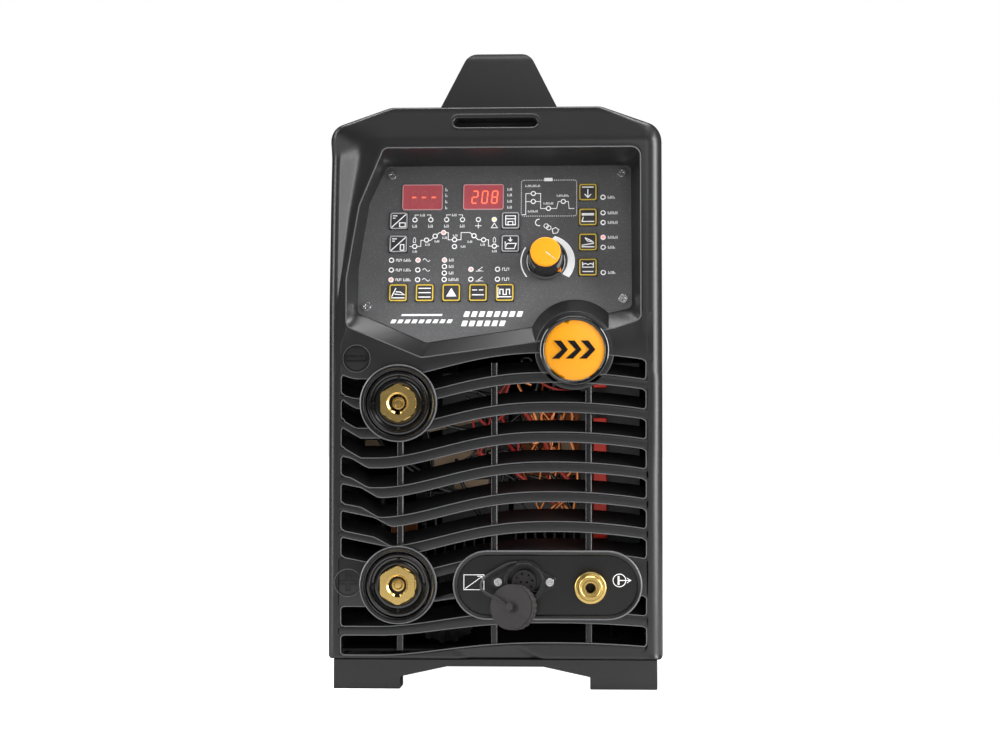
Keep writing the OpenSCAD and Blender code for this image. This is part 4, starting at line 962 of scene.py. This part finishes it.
SELECT = [[(-5.6, -5.4), (5.6, 5.4)], [(-4.6, 4), (-1.2, 4)], [(-4.6, 2.2), (-2.6, 2.2)]]
SIGN = {
    "select_up": SELECT + [frame_path(0.6, -4.8, 4.8, -1.6)],
    "select_down": SELECT + [frame_path(1.6, -5, 4.2, -0.6)],
    "save": [frame_path(-3.6, -3.6, 3.6, 3.6), [(-3.4, 1.2), (3.4, 1.2)],
             [(-1.8, -3.4), (-1.8, -1), (1.8, -1), (1.8, -3.4)]],
    "load": [[(-3.8, -4), (3, -4), (4.4, 0), (-2.4, 0), (-3.8, -4), (-3.8, 1.6)],
             [(0, 5), (0, 2)], [(-1.4, 3.2), (0, 1.8), (1.4, 3.2)]],
    "process": [[(-5, -4), (5, -4)], [(-4.6, -3), (-1.6, 3.6)],
                [(-2.6, -1), (4.8, -1.6), (1.6, 0.6), (-1.6, 0.8)]],
    "waveform": [[(-4.6, v), (4.6, v)] for v in (3.4, 0, -3.4)],
    "hf_start": [[(-4.4, 2), (-0.6, 2)], [(0.6, 2), (4, 2)], [(-4.4, -1.8), (4.4, -1.8)]],
    "pulse": [[(-5, -4.2), (-5, 4)], [(-5, -3.4), (5, -3.4)],
              [(-3.6, -1.6), (-3.6, 2.4), (-1.2, 2.4), (-1.2, -1.6), (1.2, -1.6), (1.2, 2.4),
               (3.6, 2.4), (3.6, -1.6)]],
    "vrd": [[(-4.4, 4), (4.4, 4)], [(0, 2.4), (0, -4)], [(-2.4, -1.6), (0, -4.2), (2.4, -1.6)]],
    "stick": [[(-4.6, 2.6), (4.6, 2.6)], [(-4.6, 1.6), (4.6, 1.6)],
              [(-3.4, 0), (-4.4, -3.6), (4.6, -3.6)]],
    "pedal": [[(-4.8, -3.8), (4.8, -3.8)], [(-4.6, -2.6), (4.4, -1)],
              [(-2.2, 3.4), (2.4, 1), (4, -0.2), (-0.4, 0.8), (-2.2, 3.4)]],
    "cooler": [[(-4, 4), (-4, 0), (4, 0), (4, 4)], [(-4, 2), (-2, 3), (0, 2), (2, 3), (4, 2)],
               [(-4, -3.4), (4, -3.4)]],
}
TRIANGLE = [(-3.8, -3), (3.8, -3), (0, 3.6)]
square = corner([[-6.7, -6.7], [6.7, -6.7], [6.7, 6.7], [-6.7, 6.7]], [1.3] * 4, 4)
CAP_EDGE = ((1, -0.6), (1, 0.6), (0.985, 0.82), (0.955, 0.9))
for name, c in KEY_AT.items():
    grey = name in ("select_up", "select_down", "save", "load")
    body, slot = name + "_key", "key_grey" if grey else "key_yellow"
    cap_rows = np.stack([on_panel(*(square * size + c).T, w) for size, w in CAP_EDGE])
    add_piece("cap_" + name, loft(cap_rows), "key_face", body, stands_for=["key_" + name])
    add_piece("frame_" + name, stroke(square * 0.9, 0.95, on_key(c), True, -0.05, 0.16),
              "ink_dim" if grey else "key_line", body)
    if name == "trigger_mode":
        lines = [patch(TRIANGLE, on_key(c))]
    else:
        lines = [stroke(path, 0.75, on_key(c)) for path in SIGN[name]]
    add_piece("sign_" + name, join(lines), "ink_with_painted_glow", body)
print("keys:", len(KEY_AT))

# %% [markdown]
# ## The dial
# The knob is turned from one profile: a skirt, a glossy cone and a flat cap.

# %% Dial, cap line and pointer
knob = [(0, 2.5), (14.2, 2.5), (14.8, 2.8), (15, 3.4), (14.9, 4.4), (14.3, 5.0), (13.4, 5.4), (12.9, 6.2),
        (12.7, 8), (12.1, 15), (11.8, 20.4), (11.6, 21.3), (11.2, 21.5), (0, 21.5)]
add_piece("dial_cone", lathe(knob, at_panel(DIAL), 128), "gloss_black", "dial",
          stands_for=["dial_knob"])
cap = [(0, 21.2), (11.1, 21.2), (11.2, 23.2), (11.0, 23.7), (10.6, 23.95), (10.1, 24), (0, 24)]
add_piece("dial_top", lathe(cap, at_panel(DIAL), 96), "yellow", "dial",
          stands_for=["dial_cap"])
d = np.array([math.cos(math.radians(-39)), math.sin(math.radians(-39))])
add_piece("dial_line", stroke(np.array([d * 0.6, d * 9.8]) + DIAL, 0.8, on_panel, False, 23.8, 24.0), "ink_with_painted_glow",
          "dial")
n = np.array([-d[1], d[0]])
tri = np.array([d * 10.9 - n * 3.6, d * 14.9, d * 10.9 + n * 3.6]) + DIAL
add_piece("dial_pointer", patch(tri, on_panel, 5.0, 6.6), "orange", "dial")

# %% [markdown]
# ## Parts taken over from the CAD
# The handle, feet, sheets, rear fittings and inner parts keep their CAD sizes. Their
# edges are rounded here, so that they catch light.

# %% Rounded copies of CAD nodes
def rounded_copy(node, width, material, angle=35, segments=2):
    """A copy of a CAD node, welded and with its edges rounded by a bevel."""
    src = frame["nodes"][node]
    mesh = src.data.copy()
    mesh.transform(src.matrix_world)
    bm = bmesh.new()
    bm.from_mesh(mesh)
    bmesh.ops.remove_doubles(bm, verts=bm.verts, dist=1e-6)
    bmesh.ops.dissolve_limit(bm, angle_limit=math.radians(1), verts=bm.verts, edges=bm.edges)
    bmesh.ops.recalc_face_normals(bm, faces=bm.faces)
    bm.to_mesh(mesh)
    bm.free()
    obj = new_object(node + "_look", mesh)
    mesh.materials.clear()
    mesh.materials.append(material)
    mesh.polygons.foreach_set("material_index", np.zeros(len(mesh.polygons), int))
    mesh.shade_smooth()
    mesh.set_sharp_from_angle(angle=math.radians(angle))
    if width:
        bev = obj.modifiers.new("edge", "BEVEL")
        bev.width = width * MM
        bev.segments = segments
        bev.limit_method = "ANGLE"
        bev.angle_limit = math.radians(angle)
        bev.use_clamp_overlap = True
        bev.harden_normals = False
    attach(obj, body_of(src)[0])
    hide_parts(node)
    return obj


COPIES = {
    "remote_socket_shell": (0.3, "satin_black"), "remote_socket_insert": (0.15, "rubber"),
    "connector_plate": (0.2, "plate_black"), "remote_socket_screws": (0.12, "steel"),
    "fascia_screws": (0.15, "steel"), "carry_handle": (0.8, "handle_black"),
    "front_foot": (0.8, "moulding"), "rear_foot": (0.8, "moulding"), "rear_bezel": (0.5, "moulding"),
    "casing_screws": (0.3, "dark_steel"), "cable_gland": (0.4, "satin_black"), "gas_inlet": (0.3, "brass"),
    "earth_stud": (0.3, "steel"), "mains_switch_knob": (0.8, "gloss_black"),
    "mains_switch_body": (0.3, "satin_black"), "left_side_panel": (0.25, "paint"),
    "right_side_panel": (0.25, "paint"), "top_panel": (0.25, "paint"), "chassis_tray": (0.25, "paint"),
    "fan_frame": (0.4, "satin_black"), "fan_rotor": (0.3, "satin_black"), "badge_disc": (0, "yellow"),
    "dust_cap": (0.4, "rubber"), "cap_tether": (0.15, "strap"), "control_plate": (0.12, "fascia"),
    "control_board": (0, "board"), "encoder_body": (0.2, "steel"), "encoder_shaft": (0.2, "steel"),
    "power_board": (0.15, "board"), "heat_sinks": (0.2, "dark_steel"), "transformer_core": (0.5, "ferrite"),
    "transformer_winding": (0.8, "copper_dark"), "output_choke": (0.8, "ferrite"),
    "bulk_capacitors": (1.2, "sleeve"), "film_capacitors": (0.8, "film_red"),
    "busbars": (0.3, "copper_dark"), "gas_valve": (0.5, "brass_dark"), "gas_hose": (0, "satin_black"),
}
for node, (width, mat) in COPIES.items():
    rounded_copy(node, width, MAT[mat])
print("rounded copies:", len(COPIES))

# %% [markdown]
# ## Pressed louvres of the casing
# Each slot of the side panels gets a hood, as a press tool would make it: the sheet is
# pushed out under the slot and stays closed above. The hood is a section carried along y.

# %% Hoods over the side slots
HOOD = [(-0.3, 7.4), (0.2, 7.6), (1.6, 6.6), (3.0, 4.2), (3.3, 1.2), (3.2, -0.8), (2.6, -0.9),
        (2.4, 1.2), (1.0, 5.6), (-0.3, 6.2)]
HOOD_Y = np.array([-2.0, -0.4, 2, 5, 38, 71, 74, 76.4, 78.0])
puff = np.array([0.05, 0.5, 0.9, 1, 1, 1, 0.9, 0.5, 0.05])
hoods = []
for side in (-1, 1):
    for start in (-108, 32):
        for z0 in 86 + 13.0 * np.arange(11):
            rows = [np.stack([side * (118.5 + d * (puff if d > 0 else 1) + 0 * puff), start + HOOD_Y,
                              z0 + h * (puff * 0.5 + 0.5)], -1) for d, h in HOOD]
            hoods.append(loft(np.stack(rows, 1)))
add_piece("side_hoods", join(hoods), "paint")
# Near-black sheets behind the side slots, so that the backdrop does not show through: painted shade.
shade_sheet_corners = [[(s * 116.9, y, z) for y, z in ((-120, 80), (120, 80), (120, 232), (-120, 232))] for s in (-1, 1)]
shade_sheets = [loft(np.array([p, (np.array(p) - (np.sign(p[0][0]) * 0.5, 0, 0))])) for p in shade_sheet_corners]
add_piece("side_shade_sheets", join(shade_sheets), "painted_shade")
print("hoods:", len(hoods))

# %% [markdown]
# ## Behind the grille
# A near-black disc of painted shade closes the fan opening. Small plates stand for brackets.
# A dust filter closes the fan opening. Small plates and clips stand for brackets.

# %% Wires, brackets and a disc of painted shade at the fan
def tube(points, r, sides=8):
    """A round tube of radius r along smooth points, each ring square to the path."""
    p = np.asarray(points, float)
    d = np.gradient(p, axis=0)
    d /= np.linalg.norm(d, axis=1)[:, None]
    side = np.cross(d, (0.13, 0.2, 0.97))
    side /= np.linalg.norm(side, axis=1)[:, None]
    up = np.cross(side, d)
    a = np.linspace(0, 2 * np.pi, sides, endpoint=False)[None, :, None]
    return loft(p[:, None] + r * (np.cos(a) * side[:, None] + np.sin(a) * up[:, None]))


rng = np.random.default_rng(11)


def wire(x0, x1, z0, z1, y):
    """One wire between two random points of a box, sagging and swaying in between."""
    t = np.linspace(0, 1, 22)[:, None]
    a = np.array([rng.uniform(x0, x1), y + rng.uniform(-6, 6), rng.uniform(z0, z1)])
    b = np.array([rng.uniform(x0, x1), y + rng.uniform(-6, 6), rng.uniform(z0, z1)])
    sway = rng.uniform(-1, 1, 3) * (9, 5, 12)
    wave = sway * np.sin(np.pi * t) + sway[::-1] * 0.5 * np.sin(2 * np.pi * t)
    return tube(a + (b - a) * t + wave, rng.uniform(0.8, 1.7))


for name, slot, mat, count, box in (
        ("wires_copper", "copper", "copper", 22, (24, 60, 118, 232, -186)),
        ("wires_red", "film_red", "wire_red", 12, (-20, 64, 130, 240, -190)),
        ("wires_dark", "hose_black", "satin_black", 26, (-98, 60, 110, 240, -184))):
    add_piece(name, join([wire(*box) for _ in range(count)]), mat)
plates = []
for x, z, w, h, tilt in ((-38, 196, 44, 9, 12), (-30, 170, 48, 12, 8), (-20, 148, 30, 6, 4),
                         (28, 205, 14, 20, 0), (52, 180, 10, 26, 10), (40, 150, 26, 7, -6),
                         (-98, 178, 12, 8, 0), (-84, 150, 16, 7, 5)):
    c, s = math.cos(math.radians(tilt)), math.sin(math.radians(tilt))
    base = np.array([(-w, -h), (w, -h), (w, h), (-w, h)]) / 2 @ np.array([[c, s], [-s, c]]) + (x, z)
    plates.append(loft(np.stack([np.insert(base, 1, y, axis=1) for y in (-176, -174)])))
add_piece("inner_brackets", join(plates), "card")
# A near-black disc inside the fan opening, so that the backdrop does not show through the rotor: painted
# shade.
shade_disc = lathe([(0, 0), (58.5, 0), (58.5, 1.2), (0, 1.2)],
              lambda x, y, w: np.stack([x, 203.0 + w, 230 + y], -1), 48)
add_piece("fan_shade_disc", shade_disc, "painted_shade")

# %% [markdown]
# ## Light, floor and camera
# A pale floor and a white surround, a soft box on each side and one above, as in a
# product studio. The camera stands a little to the right and looks slightly up.

# %% Studio
world = bpy.data.worlds.new("studio")
bpy.context.scene.world = world
world.use_nodes = True
bpy.context.scene.view_settings.view_transform = "Standard"
sky = world.node_tree.nodes["Background"]
sky.inputs["Color"].default_value = (1, 1, 1, 1)
path = world.node_tree.nodes.new("ShaderNodeLightPath")
level = world.node_tree.nodes.new("ShaderNodeMapRange")
level.inputs["To Min"].default_value = 0.10
level.inputs["To Max"].default_value = 1.0
world.node_tree.links.new(path.outputs["Is Camera Ray"], level.inputs["Value"])
world.node_tree.links.new(level.outputs["Result"], sky.inputs["Strength"])


def soft_box(name, at, aim, size, power):
    """A square lamp that looks at a point."""
    light = bpy.data.lights.new(name, "AREA")
    light.shape = "RECTANGLE"
    light.size, light.size_y = size
    light.energy = power
    obj = new_object(name, light)
    obj.location = at
    obj.rotation_euler = (Vector(aim) - Vector(at)).to_track_quat("-Z", "Y").to_euler()
    return obj


soft_box("box_right", (1.25, -0.62, 0.5), (0, -0.2, 0.25), (0.5, 1.4), 27)
soft_box("box_left", (-1.3, -0.75, 0.6), (0, -0.2, 0.22), (0.35, 1.4), 13)
soft_box("box_top", (0.0, -0.36, 1.6), (0, -0.24, 0.2), (1.4, 0.35), 22)
soft_box("box_front", (0.5, -2.2, 0.9), (0, -0.2, 0.22), (0.8, 0.8), 5.5)
# A faint lamp behind the grille, so that the parts inside can be made out.
soft_box("inner_glow", (0.03, -0.235, 0.19), (0.03, 0.0, 0.19), (0.16, 0.14), 0.04)

floor_mesh = bpy.data.meshes.new("floor")
floor_mesh.from_pydata([(-30, -30, 0), (30, -30, 0), (30, 30, 0), (-30, 30, 0)], [], [(0, 1, 2, 3)])
floor = new_object("floor", floor_mesh)
paper = finish_of("paper", (0.9, 0.9, 0.9), 0.8, bump=0.0, vary=0.0, spec=0.1, glow=((1, 1, 1), 0.0))
seen = paper.node_tree.nodes.new("ShaderNodeLightPath")
fade = paper.node_tree.nodes.new("ShaderNodeMath")
fade.operation = "MULTIPLY"
fade.inputs[1].default_value = 1.1
paper.node_tree.links.new(seen.outputs["Is Camera Ray"], fade.inputs[0])
surface = paper.node_tree.nodes["Principled BSDF"]
paper.node_tree.links.new(fade.outputs["Value"], surface.inputs["Emission Strength"])
floor.data.materials.append(paper)
floor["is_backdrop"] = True

cam = bpy.data.cameras.new("camera")
cam.lens, cam.sensor_width = 73.5, 36
cam.clip_start, cam.clip_end = 0.05, 100
camera = new_object("camera", cam)
camera.location = (0.0688, -1.746, 0.177)
camera.rotation_euler = (math.radians(92), 0, math.radians(2.5))
bpy.context.scene.camera = camera

# %% Sizes before and after, and the end
size_at_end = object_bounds()


def plain(value):
    """Numbers of a size as plain lists."""
    if isinstance(value, dict):
        return {k: plain(v) for k, v in value.items()}
    try:
        return [plain(v) for v in value]
    except TypeError:
        return float(value)


{"cad": plain(size_at_load), "with_pieces": plain(size_at_end)}
print("size at load", plain(size_at_load), "with pieces", plain(size_at_end))
